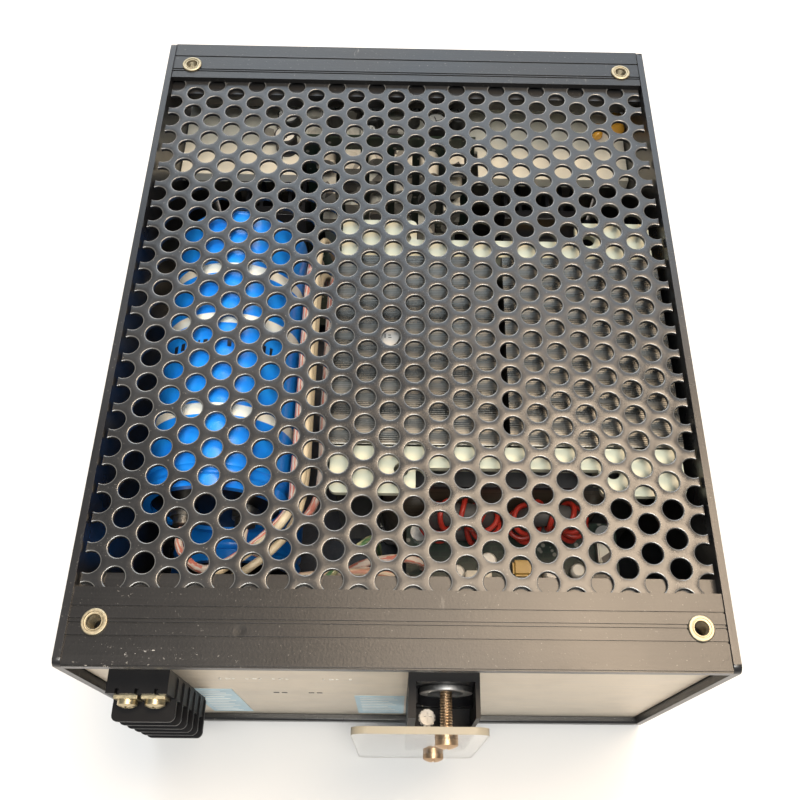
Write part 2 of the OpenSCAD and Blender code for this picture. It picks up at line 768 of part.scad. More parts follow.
module side_plate() {
    // The right side plate, with countersinks for the screws into the rail ports
    difference() {
        translate([case_w / 2 - side_t / 2, 0, case_h / 2])
            rotate([90, 0, 90])
                translate([0, 0, -side_t / 2])
                    linear_extrude(height = side_t)
                        rounded_rect(case_l, case_h, side_corner_r);
        for (sy = [-1, 1])
            for (z = port_z)
                translate([case_w / 2, sy * port_y, z])
                    rotate([0, -90, 0]) {
                        translate([0, 0, -1])
                            cylinder(d = side_screw_d + 0.1, h = side_t + 2);
                        cylinder(d1 = side_screw_head_d + 0.1, d2 = side_screw_d + 0.1,
                                 h = side_screw_head_h);
                    }
    }
}

module right_side_plate() {
    color(black_paint)
        side_plate();
}

module left_side_plate() {
    color(black_paint)
        mirror([1, 0, 0])
            side_plate();
}

module mesh_cover() {
    // Perforated sheet, holes in a 60 degree stagger; the outer columns run off the edges
    column_step = mesh_pitch * sqrt(3) / 2;
    columns = floor((sheet_w / 2 + mesh_hole_d / 4) / column_step + 0.5);
    rows = floor((sheet_l / 2 - mesh_hole_d / 2 - mesh_end_margin) / mesh_pitch);
    color(black_paint)
        translate([0, 0, mesh_bottom_z])
            linear_extrude(height = mesh_t)
                difference() {
                    square([sheet_w, sheet_l], center = true);
                    for (c = [-columns : columns - 1]) {
                        odd_column = abs(c) % 2 == 1;
                        shift = odd_column ? mesh_pitch / 2 : 0;
                        top_row = odd_column ? rows - 1 : rows;
                        for (r = [-rows : top_row])
                            translate([(c + 0.5) * column_step, r * mesh_pitch + shift])
                                circle(d = mesh_hole_d, $fn = 32);
                    }
                }
}

module base_sheet() {
    color(bare_metal)
        translate([0, 0, base_top_z - base_t])
            linear_extrude(height = base_t)
                square([sheet_w, sheet_l], center = true);
}

module panel() {
    // Front panel blank; its outer face is at panel_front_y
    along_y(panel_front_y, panel_t)
        translate([0, panel_mid_z])
            square([sheet_w, panel_h], center = true);
}

module front_panel() {
    tail_h = (input_poles - 1) * input_pitch + 6;
    color(bare_metal)
        difference() {
            panel();
            translate([input_x - strip_tail_w / 2 - 0.2, panel_front_y - 1,
                       input_top_pole_z - tail_h + 3 - 0.2])
                cube([strip_tail_w + 0.4, panel_t + 2, tail_h + 0.4]);
            for (p = output_poles)
                rod_y(p[0], p[1], panel_front_y - 1, panel_back_y + 1, 7);
        }
}

module rear_panel() {
    color(bare_metal)
        mirror([0, 1, 0])
            panel();
}

module threaded_inserts() {
    color(brass)
        for (sx = [-1, 1])
            for (sy = [-1, 1])
                translate([sx * insert_spacing_x / 2, sy * (rear_y - insert_edge), rail_top_z])
                    difference() {
                        union() {
                            cylinder(d = insert_flange_d, h = insert_flange_h);
                            translate([0, 0, -insert_body_l])
                                cylinder(d = insert_body_d, h = insert_body_l + eps);
                        }
                        translate([0, 0, -insert_body_l - 1])
                            cylinder(d = insert_bore_d, h = insert_body_l + insert_flange_h + 2);
                    }
}

module side_screws() {
    color(moulded_black)
        for (sx = [0, 1])
            mirror([sx, 0, 0])
                for (sy = [-1, 1])
                    for (z = port_z)
                        translate([case_w / 2, sy * port_y, z])
                            rotate([0, -90, 0])
                                difference() {
                                    union() {
                                        cylinder(d1 = side_screw_head_d, d2 = side_screw_d,
                                                 h = side_screw_head_h);
                                        cylinder(d = side_screw_d, h = side_screw_l);
                                    }
                                    for (a = [0, 90])
                                        rotate([0, 0, a])
                                            translate([-1.4, -0.3, -1])
                                                cube([2.8, 0.6, 1.9]);
                                }
}

// ---------- Input terminal strip ----------

module input_terminal_strip() {
    // Moulded strip that stands upright: base, end block and a barrier under each pole
    tail_h = (input_poles - 1) * input_pitch + 6;
    foot_z = input_bottom_z;
    color(moulded_black)
        difference() {
            union() {
                translate([input_x - input_w / 2, input_face_y, foot_z])
                    cube([input_w, input_base_h, input_top_z - foot_z]);
                translate([input_x - strip_tail_w / 2, panel_front_y - eps,
                           input_top_pole_z - tail_h + 3])
                    cube([strip_tail_w, panel_t + strip_tail_l, tail_h]);
                for (i = [0 : input_poles - 1])
                    translate([input_x, panel_front_y - (input_base_h + input_barrier_h) / 2,
                               input_pole_z(i) - input_pitch / 2 - input_barrier_t / 2])
                        linear_extrude(height = input_barrier_t)
                            rounded_rect(input_w + 0.8, input_base_h + input_barrier_h, 1.6);
            }
            // Screw holes
            for (i = [0 : input_poles - 1])
                for (sx = [-1, 1])
                    rod_y(input_x + sx * input_screw_spacing / 2, input_pole_z(i),
                          input_face_y - 1, panel_front_y - 1.5, strip_screw_d + 0.1);
            // Three shallow slots in the end block
            for (k = [-1, 0, 1])
                translate([input_x + k * 5 - 0.5, input_face_y - 1, input_top_z - 2.2])
                    cube([1, 2.2, 3]);
        }
}

module input_terminal_clamps() {
    color(brass)
        for (i = [0 : input_poles - 1])
            for (sx = [-1, 1])
                difference() {
                    translate([input_x + sx * input_screw_spacing / 2 - clamp_side / 2,
                               input_face_y - clamp_t, input_pole_z(i) - clamp_side / 2])
                        cube([clamp_side, clamp_t, clamp_side]);
                    rod_y(input_x + sx * input_screw_spacing / 2, input_pole_z(i),
                          input_face_y - clamp_t - 1, input_face_y + 1, strip_screw_d + 0.1);
                }
}

module input_terminal_screws() {
    color(brass)
        for (i = [0 : input_poles - 1])
            for (sx = [-1, 1]) {
                x = input_x + sx * input_screw_spacing / 2;
                rod_y(x, input_pole_z(i), input_face_y - clamp_t - eps,
                      panel_front_y - 1.6, strip_screw_d);
                pan_head_y(x, input_pole_z(i), input_face_y - clamp_t,
                           input_screw_head_d, input_screw_head_h);
            }
}

// ---------- Output terminal ----------

module output_pole_pocket(x, z) {
    // The opening in front of one contact ring: straight sided above, round below
    floor_z = z - ledge_drop;
    x0 = output_x0 + output_wall_left;
    x1 = output_x0 + output_w - output_wall_right;
    translate([x0, output_front_y - 1, floor_z])
        cube([x1 - x0, cradle_front_y - output_front_y + 1, z + pocket_rise - floor_z]);
    translate([x0, cradle_front_y - eps, z])
        cube([x1 - x0, ring_back_y - cradle_front_y + eps, pocket_rise]);
    rod_y(x, z, cradle_front_y - 1, ring_back_y, 2 * cradle_r);
    rod_y(x, z, ring_back_y - 1, panel_front_y + 1, cover_screw_d + 0.1);
}

module output_terminal_housing() {
    color(moulded_black)
        difference() {
            translate([output_x0, output_front_y, output_bottom_z])
                cube([output_w, output_reach, output_top_z - output_bottom_z]);
            for (p = output_poles)
                output_pole_pocket(p[0], p[1]);
            // Hole for the earth screw in the upper ledge
            translate([earth_screw_x, earth_screw_y, output_pole_z - ledge_drop - 4])
                cylinder(d = 2.5, h = 6);
        }
    color(moulded_black)
        for (p = output_poles)
            difference() {
                rod_y(p[0], p[1], panel_front_y - eps, panel_back_y + 2, 6.6);
                rod_y(p[0], p[1], panel_front_y - 1, panel_back_y + 3, cover_screw_d + 0.1);
            }
}

module output_contact_rings() {
    color("silver")
        for (p = output_poles)
            difference() {
                rod_y(p[0], p[1], ring_front_y, ring_back_y, ring_d);
                rod_y(p[0], p[1], ring_front_y - 1, ring_back_y + 1, ring_bore_d);
            }
}

module output_earth_screw() {
    // Small cross-head screw with a serrated washer, upright in the ledge
    ledge_z = output_pole_z - ledge_drop;
    color(brass)
        translate([earth_screw_x, earth_screw_y, ledge_z]) {
            difference() {
                union() {
                    cylinder(d = earth_washer_d, h = 0.6);
                    translate([0, 0, 0.6 - eps])
                        cylinder(d = earth_screw_head_d, h = 1.4);
                    translate([0, 0, -3.8])
                        cylinder(d = 2.4, h = 4);
                }
                for (a = [0, 90])
                    rotate([0, 0, a])
                        translate([-1.3, -0.25, 1.3])
                            cube([2.6, 0.5, 2]);
                for (a = [0 : 30 : 330])
                    rotate([0, 0, a])
                        translate([earth_washer_d / 2 - 0.25, -0.2, -1 + eps])
                            cube([1, 0.4, 2]);
            }
        }
}

module terminal_cover() {
    // Clear plastic plate, hung on the two long screws
    color([0.86, 0.80, 0.66, 0.6])
        difference() {
            along_y(cover_front_y, cover_t)
                translate([cover_x0 + cover_w / 2, cover_z0 + cover_h / 2])
                    rounded_rect(cover_w, cover_h, cover_corner_r);
            for (p = output_poles)
                rod_y(p[0], p[1], cover_front_y - 1, cover_back_y + 1,
                      cover_screw_d + cover_hole_gap);
        }
}

module terminal_cover_screws() {
    color(brass)
        for (p = output_poles) {
            rod_y(p[0], p[1], cover_front_y - eps, panel_back_y + 1.6, cover_screw_d);
            pan_head_y(p[0], p[1], cover_front_y, cover_screw_head_d, cover_screw_head_h);
        }
}

// ---------- Storage capacitors ----------

module can_outline() {
    // Half section of a can along its axis, with a rolled bead near the open end
    difference() {
        union() {
            square([can_r, can_l - can_rim_r]);
            square([can_r - can_rim_r, can_l]);
            translate([can_r - can_rim_r, can_l - can_rim_r])
                circle(r = can_rim_r);
        }
        translate([can_r + can_bead_depth, can_bead_place])
            circle(r = 2 * can_bead_depth);
        translate([-1, -1])
            square([can_r - can_wall + 1, end_disc_recess + end_disc_t + 1]);
    }
}

module at_can(place) {
    // Local z runs along the can, from its terminal end at the front to the rear
    translate(place)
        rotate([-90, 0, 0])
            children();
}

module capacitor_cans() {
    color([0.05, 0.42, 0.90])
        for (p = can_places)
            at_can(p)
                rotate_extrude($fn = 96)
                    intersection() {
                        can_outline();
                        square([can_r, can_l]);
                    }
}

module capacitor_end_discs() {
    color(moulded_black)
        for (p = can_places)
            at_can(p)
                difference() {
                    translate([0, 0, end_disc_recess])
                        cylinder(r = can_r - can_wall, h = end_disc_t);
                    for (sx = [-1, 1])
                        translate([sx * can_terminal_spacing / 2, 0, -1])
                            cylinder(d = terminal_d, h = end_disc_recess + end_disc_t + 2);
                }
}

module capacitor_terminals() {
    // A stud with a flange in the disc and a nut in front
    color("silver")
        for (p = can_places)
            at_can(p)
                for (sx = [-1, 1])
                    translate([sx * can_terminal_spacing / 2, 0, 0]) {
                        translate([0, 0, -terminal_flange_h])
                            cylinder(d = terminal_flange_d, h = terminal_flange_h + 0.2);
                        translate([0, 0, -eps])
                            cylinder(d = terminal_d, h = end_disc_recess + end_disc_t + eps);
                        translate([0, 0, -terminal_flange_h - terminal_nut_h])
                            cylinder(d = terminal_nut_d, h = terminal_nut_h + 0.1);
                    }
}

module capacitor_saddles() {
    // Moulded cradles: one under the lower can and one between the cans, at two places
    between_z = (can_upper_z + can_lower_z) / 2;
    color(moulded_black)
        for (y = saddle_places) {
            along_y(y, saddle_t)
                difference() {
                    translate([can_x - saddle_half_w, base_top_z])
                        square([2 * saddle_half_w, can_lower_z - can_r + saddle_rise - base_top_z]);
                    translate([can_x, can_lower_z])
                        circle(r = can_r);
                }
            along_y(y, saddle_t)
                difference() {
                    translate([can_x - saddle_half_w, between_z - saddle_rise])
                        square([2 * saddle_half_w, 2 * saddle_rise]);
                    translate([can_x, can_lower_z])
                        circle(r = can_r);
                    translate([can_x, can_upper_z])
                        circle(r = can_r);
                }
        }
}

// ---------- Laminated transformer ----------

module transformer_cores() {
    color([0.33, 0.32, 0.31])
        for (s = [-1, 1])
            along_y(core_y - core_stack / 2, core_stack)
                difference() {
                    translate([core_x + s * core_centre_shift - core_w / 2, core_z0])
                        square([core_w, core_h]);
                    translate([core_x + s * core_centre_shift - window_w / 2, core_z0 + core_limb])
                        square([window_w, window_h]);
                }
}

module bobbin_flange(z) {
    translate([core_x, core_y, z])
        linear_extrude(height = flange_t)
            rounded_rect(flange_w, flange_l, 3);
}

module transformer_bobbin() {
    color(moulded_black)
        difference() {
            union() {
                bobbin_flange(flange_z0);
                bobbin_flange(flange_z1);
                translate([core_x, core_y, flange_z0])
                    linear_extrude(height = flange_z1 - flange_z0 + eps)
                        square([tube_w, tube_l], center = true);
            }
            translate([core_x, core_y, flange_z0 - 1])
                linear_extrude(height = flange_z1 - flange_z0 + flange_t + 2)
                    square([inner_limbs_w + 2 * tube_gap, core_stack + 2 * tube_gap],
                           center = true);
        }
}

module transformer_winding() {
    z0 = flange_z0 + flange_t;
    color([0.72, 0.45, 0.22])
        translate([core_x, core_y, z0])
            linear_extrude(height = flange_z1 - z0)
                difference() {
                    rounded_rect(tube_w + 2 * winding_build, tube_l + 2 * winding_reach, 8);
                    square([tube_w, tube_l], center = true);
                }
}

module end_frame() {
    // The rear end frame: a web against the stack, a plate with two ears on top
    y0 = core_y + core_stack / 2 + frame_gap;
    z0 = flange_z1 + flange_t;
    ear_x = frame_w / 2 - ear_w / 2;
    difference() {
        union() {
            translate([core_x - frame_w / 2, y0, frame_top_z - frame_plate_t])
                cube([frame_w, frame_mid, frame_plate_t]);
            translate([core_x - flange_w / 2 + 1, y0, z0])
                cube([flange_w - 2, frame_plate_t, frame_top_z - z0]);
            for (s = [-1, 1])
                translate([core_x + s * ear_x, y0 + frame_ear / 2, frame_top_z - frame_plate_t])
                    linear_extrude(height = frame_plate_t)
                        rounded_rect(ear_w, frame_ear, ear_corner_r);
            for (s = [-1, 1])
                translate([core_x + s * (flange_w / 2 - frame_rib_inset) - frame_plate_t / 2,
                           y0, z0])
                    cube([frame_plate_t, frame_mid, frame_top_z - z0 - eps]);
        }
        for (s = [-1, 1])
            translate([core_x + s * (ear_x - frame_hole_shift), y0 + frame_ear - frame_hole_edge,
                       frame_top_z - 2 * frame_plate_t])
                cylinder(d = frame_hole_d, h = 3 * frame_plate_t);
    }
}

module transformer_end_frames() {
    color([0.88, 0.88, 0.78]) {
        end_frame();
        translate([0, 2 * core_y, 0])
            mirror([0, 1, 0])
                end_frame();
    }
}

module transformer_feet() {
    // Two folded steel feet under the stack
    color("dimgray")
        for (s = [-1, 1])
            translate([core_x - core_w, core_y + s * (core_stack / 2 - foot_inset) - foot_l / 2,
                       base_top_z])
                difference() {
                    cube([2 * core_w, foot_l, feet_h]);
                    translate([foot_skin, -1, -1])
                        cube([2 * (core_w - foot_skin), foot_l + 2, feet_h - foot_skin + 1]);
                }
}

// ---------- Rear board ----------

module board_blank(x0, y0, z, w, l) {
    translate([x0, y0, z])
        difference() {
            cube([w, l, board_t]);
            for (x = [post_inset, w - post_inset])
                for (y = [post_inset, l - post_inset])
                    translate([x, y, -1])
                        cylinder(d = 3.2, h = board_t + 2);
        }
}

module board_posts(x0, y0, z, w, l) {
    // Posts from the base sheet to a board, each with a screw head on top
    for (x = [post_inset, w - post_inset])
        for (y = [post_inset, l - post_inset])
            translate([x0 + x, y0 + y, base_top_z]) {
                cylinder(d = post_d, h = z - base_top_z);
                cylinder(d = post_screw_d, h = z - base_top_z + board_t + 0.5);
                translate([0, 0, z - base_top_z + board_t])
                    cylinder(d = post_head_d, h = post_head_h);
            }
}

module rear_board() {
    color(board_green)
        board_blank(-rear_board_w / 2, rear_board_y0, rear_board_z, rear_board_w, rear_board_l);
}

module rear_board_posts() {
    color("silver")
        board_posts(-rear_board_w / 2, rear_board_y0, rear_board_z, rear_board_w, rear_board_l);
}

module rear_heatsinks() {
    // Upright comb extrusions with their fins towards the rear
    fin_step = (heatsink_w - heatsink_fin_t) / (heatsink_fins - 1);
    color(moulded_black)
        for (x = heatsink_x)
            translate([x, heatsink_y0, rear_board_top])
                linear_extrude(height = heatsink_h) {
                    translate([-heatsink_w / 2, 0])
                        square([heatsink_w, heatsink_base_t]);
                    for (k = [0 : heatsink_fins - 1])
                        translate([-heatsink_w / 2 + k * fin_step, 0])
                            square([heatsink_fin_t, heatsink_base_t + heatsink_fin_l]);
                }
}

module power_transistors() {
    // Flat packages against the heatsinks' front faces, legs down into the board
    color(moulded_black)
        for (x = heatsink_x)
            for (s = [-1, 1])
                translate([x + s * transistor_shift, heatsink_y0, rear_board_top]) {
                    translate([-transistor_w / 2, -transistor_t, transistor_lift])
                        cube([transistor_w, transistor_t, transistor_h]);
                    for (k = [-1, 0, 1])
                        translate([k * leg_pitch - leg_w / 2, -(transistor_t + leg_t) / 2, 0])
                            cube([leg_w, leg_t, transistor_lift + eps]);
                }
}

module film_capacitors() {
    color([0.86, 0.84, 0.78])
        for (x = film_places)
            translate([x, film_y, rear_board_top + film_h / 2])
                rotate([90, 0, 90])
                    linear_extrude(height = film_w, center = true)
                        rounded_rect(film_l, film_h, 1.4);
}

module filter_capacitors() {
    color([0.80, 0.80, 0.78])
        for (x = filter_places)
            translate([x, filter_y, rear_board_top]) {
                cylinder(d = filter_d, h = filter_h - 1);
                cylinder(d = filter_d - 1, h = filter_h);
            }
}

module relay() {
    color([0.90, 0.88, 0.80])
        translate([relay_x - relay_w / 2, relay_y - relay_l / 2, rear_board_top])
            cube([relay_w, relay_l, relay_h]);
}

module yellow_transformer() {
    // Small ferrite transformer: a core yoke below and above a taped winding
    color([0.93, 0.74, 0.22])
        translate([yellow_x, yellow_y, rear_board_top]) {
            translate([0, 0, yellow_leg_h])
                linear_extrude(height = yellow_winding_h)
                    rounded_rect(yellow_winding_w, yellow_winding_l, 2);
            for (z = [0, yellow_leg_h + yellow_winding_h - eps])
                translate([-yellow_core_w / 2, -yellow_core_l / 2, z])
                    cube([yellow_core_w, yellow_core_l, yellow_leg_h + eps]);
        }
}

module control_board() {
    color(board_green)
        translate([control_x - control_w / 2, control_y0, control_z0])
            cube([control_w, control_t, control_h]);
}

module control_parts() {
    // Small packages of several lengths in a grid on the board's front face
    color([0.80, 0.78, 0.70])
        for (c = [0 : control_columns - 1])
            for (r = [0 : control_rows - 1]) {
                l = control_part_l[(c + 2 * r) % len(control_part_l)];
                x = control_x - control_w / 2 + control_first + c * control_step_x;
                z = control_z0 + control_first + r * control_step_z;
                if ((c + r) % 2 == 0)
                    translate([x - control_box_w / 2, control_y0 - l, z - control_box_h / 2])
                        cube([control_box_w, l, control_box_h]);
                else
                    rod_y(x, z, control_y0 - l, control_y0, control_round_d);
            }
}

module control_brackets() {
    // Two angles that hold the control board on the rear board
    color("silver")
        for (s = [-1, 1])
            translate([control_x + s * (control_w / 2 - bracket_side) - bracket_w / 2,
                       control_y0 + control_t, rear_board_top]) {
                cube([bracket_w, bracket_t, bracket_rise]);
                cube([bracket_w, bracket_foot_l, bracket_t]);
            }
}

// ---------- Front board and chokes ----------

module front_board() {
    color(board_green)
        board_blank(front_board_x0, front_board_y0, front_board_z, front_board_w, front_board_l);
}

module front_board_posts() {
    color("silver")
        board_posts(front_board_x0, front_board_y0, front_board_z, front_board_w, front_board_l);
}

module at_choke(place) {
    translate([place[0], place[1], front_board_top + choke_outer_r])
        rotate([90, 0, 0])
            children();
}

module choke_cores() {
    color([0.20, 0.20, 0.20])
        for (p = choke_places)
            at_choke(p)
                rotate_extrude()
                    translate([choke_r, 0])
                        circle(d = choke_section_d, $fn = 32);
}

function unit(v) = v / norm(v);

// One ring of a round wire: centre, tangent and a direction to start from
function wire_ring(centre, t, ref, r, sides) =
    let (u = unit(cross(t, ref)), v = cross(t, u))
    [for (k = [0 : sides - 1])
        centre + r * (cos(k * 360 / sides) * u + sin(k * 360 / sides) * v)];

module wire(path, refs, r, sides) {
    // A round wire along a path, walls in triangles
    n = len(path);
    points = [for (i = [0 : n - 1])
                 let (t = unit(path[min(n - 1, i + 1)] - path[max(0, i - 1)]))
                 each wire_ring(path[i], t, refs[i], r, sides)];
    walls = [for (i = [0 : n - 2])
                for (k = [0 : sides - 1])
                    let (a = i * sides + k, b = i * sides + (k + 1) % sides)
                    each [[a, a + sides, b + sides], [a, b + sides, b]]];
    first_cap = [for (k = [0 : sides - 1]) k];
    last_cap = [for (k = [sides - 1 : -1 : 0]) (n - 1) * sides + k];
    polyhedron(points = points, faces = concat(walls, [first_cap], [last_cap]));
}

// Winding of a choke: one wire wound round the ring core, open at the bottom
function choke_spin(k) = choke_open_angle / 2 - 90
                         + k * (360 - choke_open_angle) / (choke_turns * choke_steps);
function choke_out(k) = let (a = choke_spin(k)) [cos(a), sin(a), 0];
function choke_point(k) =
    let (q = k * 360 / choke_steps)
    (choke_r + turn_r * cos(q)) * choke_out(k) + [0, 0, turn_r * sin(q)];
function choke_side(k) = let (a = choke_spin(k)) [-sin(a), cos(a), 0];

module choke_winding() {
    last = choke_turns * choke_steps;
    tail = [0, 0.1 - choke_outer_r, 0];
    p0 = choke_point(0);
    p1 = choke_point(last);
    path = concat([[p0[0], tail[1], 0]], [for (k = [0 : last]) choke_point(k)],
                  [[p1[0], tail[1], 0]]);
    refs = concat([choke_side(0)], [for (k = [0 : last]) choke_side(k)], [choke_side(last)]);
    wire(path, refs, choke_wire_d / 2, 6);
}

module choke_windings() {
    color([0.75, 0.12, 0.08])
        for (p = choke_places)
            at_choke(p)
                choke_winding();
}

// ---------- Leads ----------

function bend(p0, p1, p2, p3, t) =
    0.5 * ((2 * p1) + (p2 - p0) * t + (2 * p0 - 5 * p1 + 4 * p2 - p3) * t * t
           + (3 * p1 - p0 - 3 * p2 + p3) * t * t * t);

function clamp_index(route, i) = route[max(0, min(len(route) - 1, i))];

function smooth(route, steps) = [
    for (i = [0 : len(route) - 2])
        for (k = [0 : steps - 1])
            bend(clamp_index(route, i - 1), route[i], route[i + 1], clamp_index(route, i + 2),
                 k / steps),
    route[len(route) - 1]
];

module lead(route, d) {
    path = smooth(route, lead_steps);
    refs = [for (p = path) [-0.62, 0.62, 0.48]];
    wire(path, refs, d / 2, lead_sides);
}

module neutral_leads() {
    color([0.85, 0.78, 0.62])
        for (route = neutral_routes)
            lead(route, lead_d);
}

module live_leads() {
    color([0.78, 0.20, 0.15])
        for (route = live_routes)
            lead(route, lead_d);
}

module earth_lead() {
    color([0.16, 0.45, 0.22])
        lead(earth_route, lead_d);
}

module capacitor_leads() {
    color([0.85, 0.70, 0.66])
        for (route = capacitor_routes)
            lead(route, lead_d);
}

module output_leads() {
    color([0.80, 0.74, 0.60])
        for (route = output_routes)
            lead(route, output_lead_d);
}

front_top_rail();
rear_top_rail();
front_bottom_rail();
rear_bottom_rail();
left_side_plate();
right_side_plate();
mesh_cover();
base_sheet();
front_panel();
rear_panel();
threaded_inserts();
side_screws();
input_terminal_strip();
input_terminal_clamps();
input_terminal_screws();
output_terminal_housing();
output_contact_rings();
output_earth_screw();
terminal_cover();
terminal_cover_screws();
capacitor_cans();
capacitor_end_discs();
capacitor_terminals();
capacitor_saddles();
transformer_cores();
transformer_bobbin();
transformer_winding();
transformer_end_frames();
transformer_feet();
rear_board();
rear_board_posts();
rear_heatsinks();
power_transistors();
film_capacitors();
filter_capacitors();
relay();
yellow_transformer();
front_board();
front_board_posts();
choke_cores();
choke_windings();
neutral_leads();
live_leads();
earth_lead();
capacitor_leads();
output_leads();
control_board();
control_parts();
control_brackets();
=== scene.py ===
"""Looks of a perforated-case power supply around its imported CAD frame. Metres, Z up, terminals towards -Y."""
import math

import bmesh
import bpy
from mathutils import Matrix, Vector


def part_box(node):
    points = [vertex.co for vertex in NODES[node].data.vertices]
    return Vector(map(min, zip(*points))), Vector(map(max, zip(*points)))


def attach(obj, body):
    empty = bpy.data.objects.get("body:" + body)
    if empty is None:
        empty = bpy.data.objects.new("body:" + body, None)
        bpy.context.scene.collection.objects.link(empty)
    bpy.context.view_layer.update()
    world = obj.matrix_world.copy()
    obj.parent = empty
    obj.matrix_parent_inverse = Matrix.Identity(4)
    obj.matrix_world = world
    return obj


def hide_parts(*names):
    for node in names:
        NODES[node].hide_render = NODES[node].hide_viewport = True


MM = 0.001
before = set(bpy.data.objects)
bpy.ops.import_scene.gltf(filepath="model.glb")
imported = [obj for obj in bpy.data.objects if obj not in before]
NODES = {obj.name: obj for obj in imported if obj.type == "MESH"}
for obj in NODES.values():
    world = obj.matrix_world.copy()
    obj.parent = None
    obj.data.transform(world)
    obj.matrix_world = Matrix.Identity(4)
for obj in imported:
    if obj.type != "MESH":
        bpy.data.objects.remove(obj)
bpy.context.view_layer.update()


# ---------- Materials ----------

class Look:
    """A Principled material whose colour, roughness and bump come from nodes in object space."""

    def __init__(self, name, rough=0.5, metal=0.0, **fixed):
        self.mat = bpy.data.materials.new(name)
        self.mat.use_nodes = True
        self.tree = self.mat.node_tree
        self.bsdf = self.tree.nodes["Principled BSDF"]
        self.bsdf.inputs["Roughness"].default_value = rough
        self.bsdf.inputs["Metallic"].default_value = metal
        for key, value in fixed.items():
            self.bsdf.inputs[key.replace("_", " ")].default_value = value
        self.place = self.tree.nodes.new("ShaderNodeTexCoord").outputs["Object"]
        self.height = None

    def add(self, kind, **sockets):
        node = self.tree.nodes.new(kind)
        for key, value in sockets.items():
            target = node.inputs[int(key[1:])] if key[0] == "i" and key[1:].isdigit() else node.inputs[key]
            self.feed(target, value)
        return node

    def feed(self, socket, value):
        if isinstance(value, bpy.types.NodeSocket):
            self.tree.links.new(value, socket)
        else:
            socket.default_value = value

    def math(self, op, a, b=0.0, clamp=False):
        node = self.add("ShaderNodeMath", i0=a, i1=b)
        node.operation = op
        node.use_clamp = clamp
        return node.outputs[0]

    def axis(self, name):
        return self.add("ShaderNodeSeparateXYZ", Vector=self.place).outputs[name]

    def noise(self, scale, detail=4.0, stretch=(1, 1, 1), rough=0.55):
        mapping = self.add("ShaderNodeMapping", Vector=self.place)
        mapping.inputs["Scale"].default_value = stretch
        node = self.add("ShaderNodeTexNoise", Vector=mapping.outputs[0], Scale=scale, Detail=detail,
                        Roughness=rough)
        return node.outputs["Fac"]

    def ramp(self, value, low, high, out_low=0.0, out_high=1.0):
        node = self.add("ShaderNodeMapRange", Value=value)
        node.inputs["From Min"].default_value = low
        node.inputs["From Max"].default_value = high
        node.inputs["To Min"].default_value = out_low
        node.inputs["To Max"].default_value = out_high
        return node.outputs[0]

    def inside(self, value, low, high, soft=1.0):
        """1 between two places in millimetres and 0 outside them."""
        up = self.ramp(value, (low - soft) * MM, (low + soft) * MM)
        return self.math("MULTIPLY", up, self.ramp(value, (high - soft) * MM, (high + soft) * MM, 1.0, 0.0))

    def near(self, x, y, radius, soft):
        """1 within a radius of a place in the plan, in millimetres."""
        dx = self.math("SUBTRACT", self.axis("X"), x * MM)
        dy = self.math("SUBTRACT", self.axis("Y"), y * MM)
        square = self.math("ADD", self.math("MULTIPLY", dx, dx), self.math("MULTIPLY", dy, dy))
        return self.ramp(self.math("SQRT", square), (radius - soft) * MM, (radius + soft) * MM, 1.0, 0.0)

    def bands(self, value, centres, inner, outer):
        """1 close to any of the given values, fading to 0 between two distances from them."""
        mask = None
        for centre in centres:
            off = self.math("ABSOLUTE", self.math("SUBTRACT", value, centre))
            band = self.ramp(off, inner, outer, 1.0, 0.0)
            mask = band if mask is None else self.math("MAXIMUM", mask, band)
        return mask

    def normal(self, name):
        """One component of the surface's own normal."""
        geometry = self.tree.nodes.new("ShaderNodeNewGeometry")
        return self.add("ShaderNodeSeparateXYZ", Vector=geometry.outputs["Normal"]).outputs[name]

    def blend(self, factor, a, b):
        node = self.tree.nodes.new("ShaderNodeMix")
        node.data_type = "RGBA"
        self.feed(node.inputs["Factor"], factor)
        self.feed(node.inputs[6], rgba(a))
        self.feed(node.inputs[7], rgba(b))
        return node.outputs[2]

    def colour(self, value):
        self.feed(self.bsdf.inputs["Base Color"], rgba(value))
        return self

    def roughness(self, value):
        self.feed(self.bsdf.inputs["Roughness"], value)
        return self

    def bump(self, value, distance, strength=1.0):
        node = self.add("ShaderNodeBump", Height=value, Strength=strength)
        node.inputs["Distance"].default_value = distance
        if self.height is not None:
            self.tree.links.new(self.height, node.inputs["Normal"])
        self.height = node.outputs[0]
        self.tree.links.new(self.height, self.bsdf.inputs["Normal"])
        return self


def rgba(value):
    return value if isinstance(value, bpy.types.NodeSocket) else (*value[:3], 1.0)


def shade(tone, factor):
    """A tone made lighter or darker."""
    return [min(1.0, part * factor) for part in tone]


SCUFF_TONE = (0.30, 0.28, 0.25)
DUST_TONE = (0.34, 0.32, 0.29)
# Colour of the painted shade round a dent.
DENT_SHADE_TONE = (0.006, 0.006, 0.006)
EVEN = (1, 1, 1)


